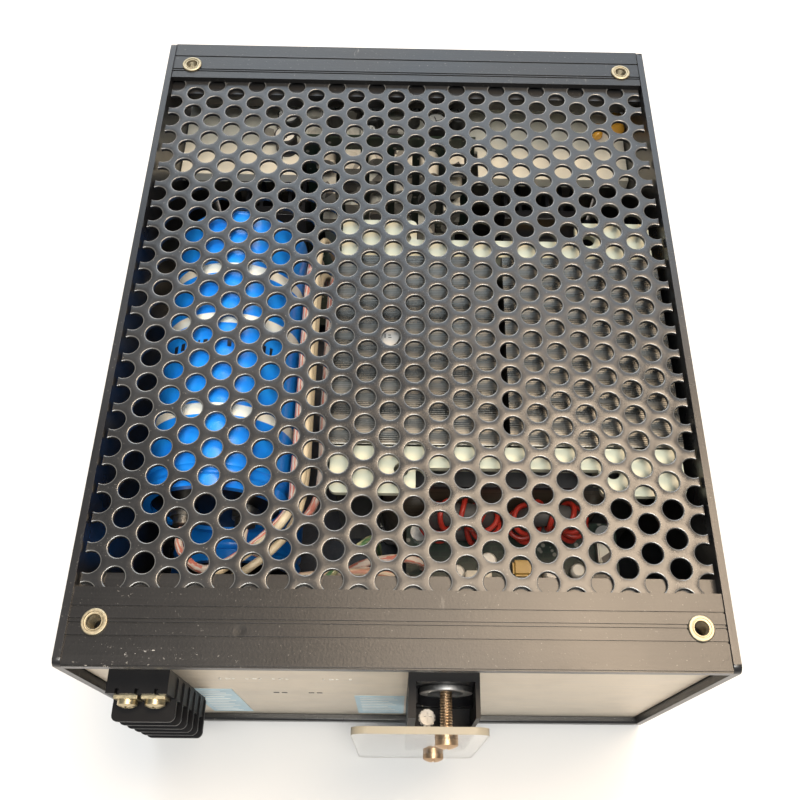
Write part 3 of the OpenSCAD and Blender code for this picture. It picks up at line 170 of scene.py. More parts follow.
def painted(name, tone, streak=EVEN, worn=0.5, rough=0.30, grit=0.3, marks=(), spec=0.5):
    """Black satin coat on metal: fine texture, dust, pale scuffs, and marks at given places."""
    look = Look(name, rough, 0.0, Specular_IOR_Level=spec)
    grain = look.noise(900, 3, streak)
    pebble = look.noise(1500, 2)
    cloud = look.noise(14, 5)
    base = look.blend(look.ramp(cloud, 0.35, 0.7), shade(tone, 0.8), shade(tone, 1.25))
    base = look.blend(look.ramp(grain, 0.45, 0.75, 0, 0.35), base, shade(tone, 2.0))
    scratch = look.ramp(look.noise(420, 6, (1, 0.25, 1), 0.7), 0.63, 0.70)
    rubbed = look.ramp(look.noise(30, 3), 0.54, 0.66, 0, worn)
    dust = look.ramp(look.noise(1700, 2), 0.70, 0.74, 0, 0.30)
    base = look.blend(look.math("MULTIPLY", scratch, rubbed), base, SCUFF_TONE)
    base = look.blend(dust, base, DUST_TONE)
    for mark in marks:
        base = mark(look, base)
    look.colour(base)
    look.roughness(look.ramp(cloud, 0.3, 0.7, rough - 0.05, rough + 0.07))
    look.bump(pebble, 0.00005, grit)
    return look.bump(grain, 0.00003, 0.4).mat


def flecks(x0, x1, y0, y1, tone, scale, low):
    """Chips in the coat over a stretch of a rail, in millimetres."""
    def mark(look, base):
        along, across = look.inside(look.axis("X"), x0, x1), look.inside(look.axis("Y"), y0, y1, 0.6)
        zone = look.math("MULTIPLY", along, across)
        chips = look.ramp(look.noise(scale, 4, (0.6, 1, 1), 0.65), low, low + 0.04)
        return look.blend(look.math("MULTIPLY", zone, chips), base, tone)
    return mark


def dimple(x, y, radius):
    """A small dent with a ring of painted shade on its sloping edge."""
    def mark(look, base):
        # Painted shade: the dark ring stands for the shade on the dent's sloping edge.
        ring = look.math("SUBTRACT", look.near(x, y, radius, 0.3), look.near(x, y, radius * 0.45, 0.3))
        look.bump(look.near(x, y, radius, radius * 0.6), -0.00008, 0.6)
        return look.blend(ring, base, DENT_SHADE_TONE)
    return mark


def plastic(name, tone, rough=0.5, grain=0.4, **fixed):
    """Moulded plastic with a fine spark-eroded texture and faint cloudiness."""
    look = Look(name, rough, 0.0, **fixed)
    cloud = look.noise(60, 4)
    look.colour(look.blend(look.ramp(cloud, 0.3, 0.7), shade(tone, 0.86), shade(tone, 1.1)))
    look.roughness(look.ramp(cloud, 0.3, 0.7, rough - 0.06, rough + 0.08))
    return look.bump(look.noise(2600, 2), 0.00003, grain).mat


def metal(name, tone, rough=0.3, streak=EVEN, stain=0.25):
    """Bare or plated metal with fine streaks and darker tarnish."""
    look = Look(name, rough, 1.0)
    grain = look.noise(1400, 3, streak)
    tarnish = look.ramp(look.noise(120, 5), 0.45, 0.75, 0, stain)
    base = look.blend(look.ramp(grain, 0.3, 0.7), shade(tone, 0.86), shade(tone, 1.08))
    look.colour(look.blend(tarnish, base, shade(tone, 0.35)))
    look.roughness(look.ramp(grain, 0.3, 0.7, rough - 0.05, rough + 0.12))
    return look.bump(grain, 0.00002, 0.4).mat


BAND_PLACES = (14.4, -3.8, -34.1)
MARK_ROW = (-13.8, -11.2)
MARK_PITCH = 2.4


def sleeve(name):
    """Blue shrink sleeve with three narrow pale bands across it and one row of plain dark strokes."""
    look = Look(name, 0.28, 0.0, Coat_Weight=0.25)
    cloud = look.noise(90, 4)
    blue = look.blend(look.ramp(cloud, 0.3, 0.7), (0.006, 0.17, 0.66), (0.012, 0.25, 0.80))
    y = look.axis("Y")
    band = look.bands(y, [place * MM for place in BAND_PLACES], 1.65 * MM, 1.85 * MM)
    blue = look.blend(band, blue, (0.66, 0.67, 0.62))
    across = look.math("FRACT", look.math("DIVIDE", look.axis("X"), MARK_PITCH * MM))
    stroke = look.bands(across, (0.5,), 0.26, 0.30)
    gaps = look.ramp(look.noise(210, 1, (1, 0.1, 0.1)), 0.48, 0.50)
    row = look.inside(y, *MARK_ROW, 0.15)
    mark = look.math("MULTIPLY", look.math("MULTIPLY", stroke, gaps), row)
    look.colour(look.blend(mark, blue, (0.012, 0.014, 0.02)))
    return look.bump(look.noise(160, 3, (1, 0.3, 1)), 0.0004, 0.35).mat


SHEET_PITCH = 0.62


def laminated(name):
    """Edges of stacked sheets: many thin lines across the stack, varnish and rust bloom."""
    look = Look(name, 0.30, 0.85)
    wobble = look.math("MULTIPLY", look.noise(45, 2, (1, 0.2, 1)), 0.18 * MM)
    along = look.math("ADD", look.axis("Y"), wobble)
    line = look.math("FRACT", look.math("DIVIDE", along, SHEET_PITCH * MM))
    gap = look.ramp(look.math("ABSOLUTE", look.math("SUBTRACT", line, 0.5)), 0.34, 0.48)
    tone = look.noise(260, 3, (0.05, 1, 0.05))
    base = look.blend(look.ramp(tone, 0.3, 0.7), (0.07, 0.068, 0.061), (0.155, 0.15, 0.135))
    base = look.blend(look.ramp(look.noise(70, 5), 0.5, 0.75, 0, 0.45), base, (0.07, 0.055, 0.04))
    look.colour(look.blend(look.math("MULTIPLY", gap, 0.7), base, (0.02, 0.019, 0.017)))
    look.roughness(look.ramp(tone, 0.3, 0.7, 0.20, 0.38))
    return look.bump(gap, -0.00006, 0.5).mat


def board(name):
    """Solder-masked laminate: green with lighter tracks and tinned pads."""
    look = Look(name, 0.45, 0.0)
    grid = look.add("ShaderNodeTexBrick", Vector=look.place, Scale=140.0)
    grid.inputs["Mortar Size"].default_value = 0.03
    track = look.ramp(grid.outputs["Fac"], 0.4, 0.6, 0, 0.6)
    base = look.blend(look.ramp(look.noise(50, 4), 0.3, 0.7), (0.005, 0.013, 0.009), (0.007, 0.018, 0.011))
    pads = look.add("ShaderNodeTexVoronoi", Vector=look.place, Scale=260.0)
    dot = look.ramp(pads.outputs["Distance"], 0.16, 0.20, 1.0, 0.0)
    look.colour(look.blend(dot, look.blend(track, base, (0.012, 0.034, 0.018)), (0.20, 0.19, 0.16)))
    return look.bump(track, 0.00004, 0.6).mat


def mixed_parts(name, dark, pale):
    """Small packages of several colours, cell by cell, with painted shade that makes their walls darker than
    their tops.
    """
    look = Look(name, 0.42, 0.0)
    cells = look.add("ShaderNodeTexVoronoi", Vector=look.place, Scale=170.0)
    pick = look.add("ShaderNodeSeparateColor", Color=cells.outputs["Color"]).outputs[0]
    tone = look.blend(look.ramp(pick, 0.12, 0.50), dark, pale)
    # Painted shade: faces that turn away from straight up are blended towards a deep copy of the dark tone.
    painted_shade_tone = look.blend(look.ramp(look.normal("Z"), 0.4, 0.8, 0.45, 1.0), shade(dark, 0.25), tone)
    look.colour(look.blend(look.ramp(look.noise(240, 4), 0.45, 0.7, 0, 0.45), painted_shade_tone, dark))
    return look.bump(look.noise(900, 3), 0.00005, 0.5).mat


def insulation(name, tone):
    """Soft wire insulation with a faint sheen and handling marks."""
    look = Look(name, 0.42, 0.0)
    soil = look.ramp(look.noise(300, 4), 0.5, 0.75, 0, 0.4)
    look.colour(look.blend(soil, tone, shade(tone, 0.55)))
    return look.bump(look.noise(700, 2), 0.00004, 0.4).mat


STRIPE_SIDES = (0.72, 0.20, -0.35)


def striped(name, tone, line, wide):
    """Insulation with long coloured lines that keep to one side of the lead as it runs."""
    look = Look(name, 0.42, 0.0)
    side = look.math("ADD", look.math("MULTIPLY", look.normal("X"), 0.55),
                     look.math("MULTIPLY", look.normal("Z"), 0.70))
    side = look.math("ADD", side, look.ramp(look.noise(26, 2), 0.3, 0.7, -0.25, 0.25))
    mask = look.bands(side, STRIPE_SIDES, wide * 0.6, wide)
    soil = look.ramp(look.noise(300, 4), 0.5, 0.75, 0, 0.4)
    base = look.blend(soil, tone, shade(tone, 0.6))
    look.colour(look.blend(look.math("MULTIPLY", mask, 0.85), base, line))
    return look.bump(look.noise(700, 2), 0.00004, 0.4).mat


TAPE_WIDTH = 6.0


def tape(name, tone):
    """Wound tape with edges round the coil."""
    look = Look(name, 0.45, 0.0)
    height = look.math("ADD", look.axis("Z"), look.math("MULTIPLY", look.noise(20, 2), 2 * MM))
    edge = look.ramp(look.math("FRACT", look.math("DIVIDE", height, TAPE_WIDTH * MM)), 0.92, 0.97)
    base = look.blend(look.ramp(look.noise(80, 4), 0.3, 0.7), shade(tone, 0.8), shade(tone, 1.15))
    look.colour(look.blend(edge, base, shade(tone, 0.4)))
    return look.bump(edge, -0.0001, 0.6).mat


def clear_plastic(name):
    """Clear sheet whose sawn upper and side edges are milky cream."""
    look = Look(name, 0.05, 0.0, IOR=1.30)
    face = look.ramp(look.math("ABSOLUTE", look.normal("Y")), 0.5, 0.8)
    look.feed(look.bsdf.inputs["Transmission Weight"], face)
    edge = look.blend(look.ramp(look.noise(40, 3), 0.3, 0.7), (0.24, 0.215, 0.16), (0.30, 0.27, 0.21))
    look.colour(look.blend(face, edge, (0.97, 0.96, 0.93)))
    look.roughness(look.ramp(face, 0, 1, 0.35, 0.03))
    return look.bump(look.noise(500, 3), 0.00002, 0.2).mat


BLACK = (0.010, 0.0096, 0.0096)
MAT = {
    "rail": painted("rail_black", BLACK, (0.02, 1, 1), worn=0.35, grit=0.5, spec=0.42, marks=(
        flecks(-70, -46, -103.8, -101.4, (0.30, 0.29, 0.27), 1100, 0.63),
        flecks(-79, -60, -106.5, -105.2, (0.34, 0.32, 0.29), 900, 0.62),
        flecks(36, 46, -106.5, -104.6, (0.004, 0.004, 0.004), 500, 0.52),
        dimple(-39.1, -97.3, 1.1))),
    "plate": painted("plate_black", (0.011, 0.011, 0.012), (1, 0.03, 1), worn=0.6),
    "mesh": painted("mesh_black", (0.014, 0.014, 0.0145), worn=0.08, rough=0.29, grit=0.25),
    # The hole rims are the same black coat as the cover in a lighter tone, a painted highlight on their rounded
    # edges.
    "rim": painted("coated_rim_painted_highlight", (0.085, 0.085, 0.082), worn=0.3, rough=0.22, grit=0.1, spec=1.0),
    # Dark coat on the base sheet; its depth and blue-grey tint are partly painted shade of the dim inside of
    # the case.
    "floor_plate": painted("base_dark_painted_shade", (0.045, 0.052, 0.068), worn=0.2),
    "sheet": metal("bare_sheet", (0.56, 0.50, 0.41), 0.40, (0.05, 1, 1), 0.15),
    "shelf": plastic("cream_zinc", (0.88, 0.84, 0.71), 0.34, 0.2, Metallic=0.1),
    "gold": metal("yellow_passivated", (0.50, 0.43, 0.28), 0.34, stain=0.35),
    "black_screw": metal("black_oxide", (0.10, 0.10, 0.11), 0.40),
    "moulded": plastic("moulded_black", (0.006, 0.006, 0.007), 0.40, Specular_IOR_Level=0.12),
    "tin": metal("tinned", (0.30, 0.29, 0.27), 0.38),
    "ring": metal("zinc_ring", (0.26, 0.26, 0.26), 0.42, stain=0.1),
    "sleeve": sleeve("blue_sleeve"),
    "core": laminated("laminated_steel"),
    "bobbin": plastic("bobbin_black", (0.03, 0.03, 0.032), 0.5),
    "winding": tape("winding_tape", (0.10, 0.075, 0.05)),
    "frame": plastic("off_white_frame", (0.54, 0.54, 0.41), 0.42, 0.3, Coat_Weight=0.1),
    "foot": metal("plated_foot", (0.45, 0.45, 0.43), 0.4),
    "board": board("board_green"),
    "post": metal("post_metal", (0.72, 0.72, 0.70), 0.35),
    "heatsink": painted("heatsink_black", (0.02, 0.02, 0.022), (1, 1, 0.03), worn=0.2),
    "package": plastic("package_black", (0.02, 0.02, 0.02), 0.4),
    "film": plastic("film_block", (0.72, 0.68, 0.55), 0.4),
    "can": metal("can_metal", (0.70, 0.70, 0.70), 0.3),
    "relay": plastic("relay_cream", (0.74, 0.70, 0.60), 0.38),
    "yellow": tape("yellow_tape", (0.80, 0.50, 0.06)),
    "choke": plastic("choke_core", (0.05, 0.05, 0.05), 0.6),
    "red": insulation("red_wire", (0.36, 0.025, 0.015)),
    "beige": insulation("beige_wire", (0.78, 0.66, 0.46)),
    "pink": striped("live_lead", (0.72, 0.60, 0.46), (0.55, 0.22, 0.15), 0.12),
    "green": striped("earth_lead", (0.60, 0.60, 0.36), (0.02, 0.16, 0.06), 0.20),
    "striped": striped("charge_lead", (0.78, 0.68, 0.60), (0.60, 0.13, 0.08), 0.14),
    "cream": insulation("cream_lead", (0.80, 0.72, 0.56)),
    "paper": plastic("paper_white", (0.38, 0.37, 0.35), 0.6, 0.2),
    "label": plastic("label_blue", (0.38, 0.53, 0.60), 0.5, 0.2),
    "print": plastic("print_white", (0.74, 0.72, 0.66), 0.5, 0.2),
    "ink": plastic("ink_black", (0.02, 0.02, 0.02), 0.5, 0.2),
    "package_cream": mixed_parts("small_parts", (0.09, 0.08, 0.07), (0.80, 0.75, 0.63)),
    "can_top": plastic("can_top_grey", (0.80, 0.78, 0.72), 0.35, 0.3),
    "screw": metal("bronzed_screw", (0.46, 0.32, 0.20), 0.38, stain=0.35),
    "insert": metal("brass_insert", (0.38, 0.33, 0.23), 0.44, stain=0.4),
    "amber": plastic("amber_part", (0.52, 0.33, 0.08), 0.3, 0.2),
    "orange": plastic("dipped_orange", (0.90, 0.45, 0.06), 0.25, 0.2),
    "clear": clear_plastic("clear_cover"),
}


# ---------- Helpers ----------

def piece(name, bm, mats, smooth=35):
    """A finished bmesh as an object that rides on the case."""
    bmesh.ops.recalc_face_normals(bm, faces=bm.faces)
    mesh = bpy.data.meshes.new(name)
    bm.to_mesh(mesh)
    bm.free()
    for mat in mats if isinstance(mats, (list, tuple)) else [mats]:
        mesh.materials.append(mat)
    mesh.shade_smooth()
    mesh.set_sharp_from_angle(angle=math.radians(smooth))
    obj = bpy.data.objects.new(name, mesh)
    bpy.context.scene.collection.objects.link(obj)
    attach(obj, "root")
    return obj


WELD_GAP = 0.002
EDGE_ANGLE = 40


def welded(node, look):
    """A CAD node with its material and its shared points joined, ready for a modifier."""
    obj = NODES[node]
    obj.data.materials.clear()
    obj.data.materials.append(look)
    weld = obj.modifiers.new("weld", "WELD")
    weld.merge_threshold = WELD_GAP * MM
    return obj


def wear(node, look, bevel):
    """Material and softened edges for a CAD node; a zero bevel leaves its edges alone."""
    if not bevel:
        NODES[node].data.materials.clear()
        NODES[node].data.materials.append(look)
        return
    cut = welded(node, look).modifiers.new("edges", "BEVEL")
    cut.width = bevel * MM
    cut.segments = 2
    cut.limit_method = "ANGLE"
    cut.angle_limit = math.radians(EDGE_ANGLE)
    cut.harden_normals = False
    cut.use_clamp_overlap = True


def soft(node, look):
    """A faceted CAD lead with rounder walls."""
    sub = welded(node, look).modifiers.new("round", "SUBSURF")
    sub.levels = sub.render_levels = 1


def add_box(bm, lo, hi):
    """An axis-aligned box from corner to corner, in millimetres."""
    made = bmesh.ops.create_cube(bm, size=1.0)["verts"]
    size = [(b - a) * MM for a, b in zip(lo, hi)]
    mid = [(a + b) / 2 * MM for a, b in zip(lo, hi)]
    for v in made:
        v.co = Vector([m + c * s for m, c, s in zip(mid, v.co, size)])
    return made


def add_block(bm, x, y, z, size):
    """A box that stands on a height, centred on a place in the plan."""
    w, d, h = size
    add_box(bm, (x - w / 2, y - d / 2, z), (x + w / 2, y + d / 2, z + h))


def round_edges(bm, radius, segments=2):
    bmesh.ops.bevel(bm, geom=bm.edges[:], offset=radius * MM, segments=segments, affect="EDGES")


def bridge(bm, one, two, material=0):
    """A closed band of faces between two rings of points."""
    for k in range(len(one)):
        n = (k + 1) % len(one)
        bm.faces.new((one[k], one[n], two[n], two[k])).material_index = material


def capped(bm, rings):
    """A closed body through a row of rings."""
    for one, two in zip(rings, rings[1:]):
        bridge(bm, one, two)
    bm.faces.new(rings[0][::-1])
    bm.faces.new(rings[-1])


def add_turned(bm, profile, place, steps, lying=False):
    """A turned form, upright or lying along Y: profile of (radius, along) pairs in millimetres."""
    turn = Matrix.Rotation(math.radians(-90 if lying else 0), 3, "X")
    rings = []
    for radius, along in profile:
        ring = []
        for k in range(steps):
            a = 2 * math.pi * k / steps
            point = turn @ Vector((radius * math.cos(a), radius * math.sin(a), along))
            ring.append(bm.verts.new((point + Vector(place)) * MM))
        rings.append(ring)
    capped(bm, rings)


def span(node):
    """Corners of a CAD node in millimetres."""
    lo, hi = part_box(node)
    return Vector(lo) / MM, Vector(hi) / MM


# ---------- Perforated cover ----------

PITCH = 8.0
HOLE_R = 2.85
SIDES = 24
RIM_SLOT = 1
ROWS = 11
COLUMNS = 12
BLANK_EDGE = PITCH * (ROWS + 0.5)
ANGLES = [k * 360 / SIDES for k in range(SIDES)]
ANGLES_BELOW = range(180, 361, 360 // SIDES)
JOIN_GAP = 0.01
SAME = 1e-6
RIM = ((0.30, 0.0), (0.12, -0.04), (0.03, -0.13), (0.0, -0.24))


def hex_reach(angle):
    """Distance from a cell's centre to its flat-topped hexagon border."""
    off = (angle + 30) % 60 - 30
    return PITCH / 2 / math.cos(math.radians(30 - abs(off)))


def around(cx, cy, angle, reach, z):
    """A point at an angle and a distance from a cell's centre, in metres."""
    a = math.radians(angle)
    return Vector((cx + reach * math.cos(a), cy + reach * math.sin(a), z)) * MM


def add_cell(bm, cx, cy, top, bottom):
    """One hexagon of sheet with a hole in its middle and a rounded rim on the upper side."""
    def ring(reach, z):
        """Points round the cell, on a circle or, without a reach, on its border."""
        return [bm.verts.new(around(cx, cy, a, reach or hex_reach(a), z)) for a in ANGLES]

    outer_top, outer_low = ring(None, top), ring(None, bottom)
    rim = [ring(HOLE_R + grow, top + drop) for grow, drop in RIM]
    low = ring(HOLE_R, bottom)
    bridge(bm, outer_top, rim[0])
    for one, two in zip(rim, rim[1:]):
        bridge(bm, one, two, RIM_SLOT)
    bridge(bm, rim[-1], low)
    bridge(bm, low, outer_low)


def add_blank(bm, cx, side, top, bottom):
    """The half cell without a hole that fills a short column's end."""
    for z in (top, bottom):
        points = [around(cx, 0, a, hex_reach(a), z) for a in ANGLES_BELOW]
        bm.faces.new([bm.verts.new((p.x, side * (BLANK_EDGE * MM + p.y), p.z)) for p in points])


def perforated_cover():
    """The cover's sheet with its staggered holes, trimmed at the case's sides."""
    lo, hi = span("mesh_cover")
    top, bottom = hi.z, lo.z
    bm = bmesh.new()
    for column in range(-COLUMNS, COLUMNS):
        short = column % 2 == 1
        cx = (column + 0.5) * PITCH * math.sqrt(3) / 2
        for row in range(-ROWS, ROWS if short else ROWS + 1):
            add_cell(bm, cx, (row + (0.5 if short else 0)) * PITCH, top, bottom)
        if short:
            add_blank(bm, cx, -1, top, bottom)
            add_blank(bm, cx, 1, top, bottom)
    bmesh.ops.remove_doubles(bm, verts=bm.verts, dist=JOIN_GAP * MM)
    close_border(bm, top * MM, bottom * MM)
    for side in (-1, 1):
        everything = bm.verts[:] + bm.edges[:] + bm.faces[:]
        cut = bmesh.ops.bisect_plane(bm, geom=everything, plane_co=(side * hi.x * MM, 0, 0),
                                     plane_no=(side, 0, 0), clear_outer=True)
        edges = [e for e in cut["geom_cut"] if isinstance(e, bmesh.types.BMEdge)]
        bmesh.ops.holes_fill(bm, edges=[e for e in edges if e.is_boundary], sides=0)
    made = piece("perforated_cover", bm, [MAT["mesh"], MAT["rim"]], 40)
    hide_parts("mesh_cover")


def plan_key(vert):
    return round(vert.co.x, 6), round(vert.co.y, 6)


def close_border(bm, top, bottom):
    """Walls between the open borders of the upper and lower faces."""
    border = [e for e in bm.edges if e.is_boundary]
    low = {plan_key(v): v for e in border for v in e.verts if abs(v.co.z - bottom) < SAME}
    for a, b in [e.verts for e in border]:
        if abs(a.co.z - top) < SAME and abs(b.co.z - top) < SAME:
            under_a, under_b = low.get(plan_key(a)), low.get(plan_key(b))
            if under_a and under_b:
                bm.faces.new((a, b, under_b, under_a))


perforated_cover()

# ---------- CAD nodes ----------

# Each node's material, and how far its edges are softened in millimetres
WORN = {
    "front_top_rail": ("rail", 0.12),
    "rear_top_rail": ("rail", 0.12),
    "front_bottom_rail": ("rail", 0.12),
    "rear_bottom_rail": ("rail", 0.12),
    "left_side_plate": ("plate", 0.35),
    "right_side_plate": ("plate", 0.35),
    "front_panel": ("sheet", 0.15),
    "rear_panel": ("sheet", 0.15),
    "base_sheet": ("floor_plate", 0.15),
    "side_screws": ("black_screw", 0),
    "input_terminal_strip": ("moulded", 0.2),
    "input_terminal_clamps": ("gold", 0.12),
    "input_terminal_screws": ("gold", 0),
    "output_terminal_housing": ("moulded", 0.2),
    "output_contact_rings": ("ring", 0.15),
    "output_earth_screw": ("tin", 0),
    "terminal_cover": ("clear", 0.25),
    "terminal_cover_screws": ("screw", 0),
    "capacitor_cans": ("sleeve", 0),
    "capacitor_end_discs": ("moulded", 0),
    "capacitor_terminals": ("tin", 0),
    "capacitor_saddles": ("moulded", 0.2),
    "transformer_cores": ("core", 0.2),
    "transformer_bobbin": ("bobbin", 0.2),
    "transformer_winding": ("winding", 0.6),
    "transformer_end_frames": ("frame", 0.3),
    "transformer_feet": ("foot", 0.2),
    "rear_board": ("board", 0),
    "front_board": ("board", 0),
    "rear_board_posts": ("post", 0),
    "front_board_posts": ("post", 0),
    "rear_heatsinks": ("heatsink", 0.15),
    "power_transistors": ("package", 0.15),
    "film_capacitors": ("film", 0.3),
    "filter_capacitors": ("can", 0),
    "relay": ("relay", 0.3),
    "yellow_transformer": ("yellow", 0.2),
    "choke_cores": ("choke", 0),
    "control_board": ("board", 0),
    "control_parts": ("package_cream", 0.3),
    "control_brackets": ("post", 0.1),
}
LEADS = {
    "choke_windings": "red",
    "neutral_leads": "beige",
    "live_leads": "pink",
    "earth_lead": "green",
    "capacitor_leads": "striped",
    "output_leads": "cream",
}

for node, (look_name, bevel_width) in WORN.items():
    wear(node, MAT[look_name], bevel_width)
for node, look_name in LEADS.items():
    soft(node, MAT[look_name])

# ---------- Rear shelf and what stands on it ----------

SHELF_TOP = 78.0
SHELF_SHEET = 1.5
SHELF_FRONT = 69.4
SHELF_LIP = 4.0
FLANGE_START = 10
FLANGE_HEIGHT = 5
SIDE_GAP = 0.4
NOTCH_SIDE_GAP = 1.5
NOTCH_BACK_GAP = 1.6


def boxes(name, places, mat):
    """One piece made of plain boxes."""
    bm = bmesh.new()
    for lo, hi in places:
        add_box(bm, lo, hi)
    return piece(name, bm, mat, 30)


def rear_shelf():
    """A bright folded plate under the cover, fixed to the rear panel, notched for the control board."""
    back = span("rear_panel")[0].y
    left, right = span("left_side_plate")[1].x + SIDE_GAP, span("right_side_plate")[0].x - SIDE_GAP
    board_lo, board_hi = span("control_board")
    notch_left, notch_right = board_lo.x - NOTCH_SIDE_GAP, board_hi.x + NOTCH_SIDE_GAP
    notch = board_hi.y + NOTCH_BACK_GAP
    plan = [(left, SHELF_FRONT), (notch_left, SHELF_FRONT), (notch_left, notch), (notch_right, notch),
            (notch_right, SHELF_FRONT), (right, SHELF_FRONT), (right, back), (left, back)]
    under = SHELF_TOP - SHELF_SHEET
    bm = bmesh.new()
    upper, lower = ([bm.verts.new(Vector((x, y, z)) * MM) for x, y in plan] for z in (SHELF_TOP, under))
    bm.faces.new(upper)
    bm.faces.new(lower[::-1])
    bridge(bm, upper, lower)
    for start, end in ((left, notch_left), (notch_right, right)):
        add_box(bm, (start, SHELF_FRONT, SHELF_TOP - SHELF_LIP), (end, SHELF_FRONT + SHELF_SHEET, under))
    add_box(bm, (FLANGE_START, back - SHELF_SHEET, SHELF_TOP), (right, back, SHELF_TOP + FLANGE_HEIGHT))
    piece("rear_shelf", bm, MAT["shelf"], 30)


# Places on the shelf in millimetres: (x, y, radius, height)
SHELF_CANS = ((-43, 91, 4.0, 8), (-43.5, 81.5, 4.0, 8), (-12, 92, 4.2, 9), (-13, 85.6, 2.2, 7),
              (11, 88, 4.0, 9), (19.5, 93, 4.0, 8), (-26, 94, 3.2, 8), (2, 95, 3.2, 7))
# Places on the shelf in millimetres: (x, y, (width, depth, height))
SHELF_BLOCKS = ((-33, 86, (6, 5, 5)), (-33, 94, (8, 4, 6)), (-19, 87, (4, 7, 5)), (-4, 87, (7, 4, 6)),
                (5, 84.5, (4, 3, 4)), (-19.5, 96, (5, 4, 7)), (10.5, 96, (6, 4, 5)), (20, 85.5, (5, 4, 5)),
                (-50, 87, (5, 8, 4)))
VENT_TURN = 20
VENT_HALF_WIDTH = 0.15
VENT_REACH = 0.55
CAN_STEPS = 28
PACKAGE_EDGE = 0.4


def add_vent(bm, x, y, r, top):
    """The cross that is pressed into a can's top."""
    for turn in (0, 90):
        bar = add_box(bm, (x - r * VENT_REACH, y - VENT_HALF_WIDTH, top + 0.05),
                      (x + r * VENT_REACH, y + VENT_HALF_WIDTH, top + 0.2))
        bmesh.ops.rotate(bm, verts=bar, cent=Vector((x, y, top)) * MM,
                         matrix=Matrix.Rotation(math.radians(turn + VENT_TURN), 3, "Z"))


def shelf_parts():
    """Small round capacitors and packages on the middle of the shelf."""
    cans, tops, vents, blocks = bmesh.new(), bmesh.new(), bmesh.new(), bmesh.new()
    for x, y, r, h in SHELF_CANS:
        place = (x, y, SHELF_TOP)
        beaded = [(r - 0.3, 0), (r, 0.3), (r, 1.2), (r - 0.35, 1.6), (r, 2.0), (r, h - 0.3), (r - 0.3, h)]
        add_turned(cans, beaded, place, CAN_STEPS)
        add_turned(tops, [(r - 0.6, h - 0.05), (r - 0.6, h + 0.1), (r - 0.9, h + 0.12)], place, CAN_STEPS)
        add_vent(vents, x, y, r, SHELF_TOP + h)
    for x, y, size in SHELF_BLOCKS:
        add_block(blocks, x, y, SHELF_TOP, size)
    round_edges(blocks, PACKAGE_EDGE)
    piece("shelf_capacitors", cans, MAT["ink"], 40)
    piece("shelf_capacitor_tops", tops, MAT["can_top"], 30)
    piece("shelf_capacitor_vents", vents, MAT["ink"], 30)
    piece("shelf_packages", blocks, MAT["package_cream"], 40)


# Places on the shelf in millimetres: (x, y, radius, length)
BEADS = ((78.4, 94.0, 3.0, 8), (71.2, 91.0, 2.0, 6))
BEAD_STEPS = 24


def shelf_beads():
    """Two dipped parts that lie along Y on the right of the shelf."""
    bm = bmesh.new()
    for x, y, r, long in BEADS:
        half = [(r * 0.55, 0), (r * 0.9, 0.6), (r, 1.6)]
        profile = half + [(radius, long - along) for radius, along in half[::-1]]
        add_turned(bm, profile, (x, y - long / 2, SHELF_TOP + r), BEAD_STEPS, lying=True)
    piece("dipped_parts", bm, MAT["orange"], 40)


# ---------- Front board ----------

# Places on the front board in millimetres: (x, y, (width, depth, height))
BOARD_BLOCKS = ((12, -75, (6, 5, 3)), (24, -72, (8, 5, 4)), (33, -76, (5, 6, 3)), (61, -74, (7, 7, 5)),
                (63.5, -63, (5, 8, 4)), (50, -78, (7, 4, 3)))
# Places on the front board in millimetres: (x, y, radius, height)
BOARD_CANS = ((27.0, -66.6, 2.6, 5), (47.0, -70.5, 3.2, 6), (54.5, -69.0, 2.2, 4), (17.5, -70, 2.4, 4))
AMBER_PLACE = (38.5, -68.5)
AMBER_SIZE = (8, 5, 4)
AMBER_EDGE = 0.8


def front_board_parts():
    """Small parts that lie beside the chokes on the front board."""
    top = span("front_board")[1].z
    blocks, amber, cans = bmesh.new(), bmesh.new(), bmesh.new()
    for x, y, size in BOARD_BLOCKS:
        add_block(blocks, x, y, top, size)
    round_edges(blocks, PACKAGE_EDGE)
    add_block(amber, *AMBER_PLACE, top, AMBER_SIZE)
    round_edges(amber, AMBER_EDGE, 3)
    for x, y, r, h in BOARD_CANS:
        domed = [(r - 0.4, 0), (r, 0.5), (r, h - 0.8), (r - 0.5, h - 0.1), (r - 1.2, h)]
        add_turned(cans, domed, (x, y, top), CAN_STEPS)
    piece("front_board_packages", blocks, MAT["package_cream"], 40)
    piece("front_board_block", amber, MAT["amber"], 40)
    piece("front_board_capacitors", cans, MAT["can_top"], 40)


# ---------- Labels and marks ----------

# Corners on the front panel in millimetres: (left, right, bottom, top)
LABELS = ((-61, -48, 11, 57), (-13, 2, 9, 46.6))
LABEL_LIFT = 0.12
LINE_PITCH = 3.6
LINE_HALF = 0.35
LINE_INSET = 1.5
PRINT_LIFT = 0.08
PRINT_BOTTOM = 74.0
PRINT_HEIGHT = 1.9
PRINT_PITCH = 1.8
PRINT_STROKE = 0.35
PRINT_BAR = 0.4
# Groups of strokes: (left end, how many)
PRINT_GROUPS = ((-48.5, 11), (-20.5, 5))
PRINT_SPACES = (3, 7)
ARROWS = (-34.5, -24.2)
ARROW_BOTTOM, ARROW_TOP = 51.0, 52.0
ARROW_INNER, ARROW_OUTER = 0.4, 2.0


def label_lines(face):
    """Blank lines of uneven length down each label."""
    made = []
    for left, right, bottom, top in LABELS:
        z = top - 3.5
        while z > bottom + 2:
            short = z * 7 % 4
            made.append(((left + LINE_INSET, face - LABEL_LIFT - 0.04, z - LINE_HALF),
                         (right - LINE_INSET - short, face - 0.1, z + LINE_HALF)))
            z -= LINE_PITCH
    return made


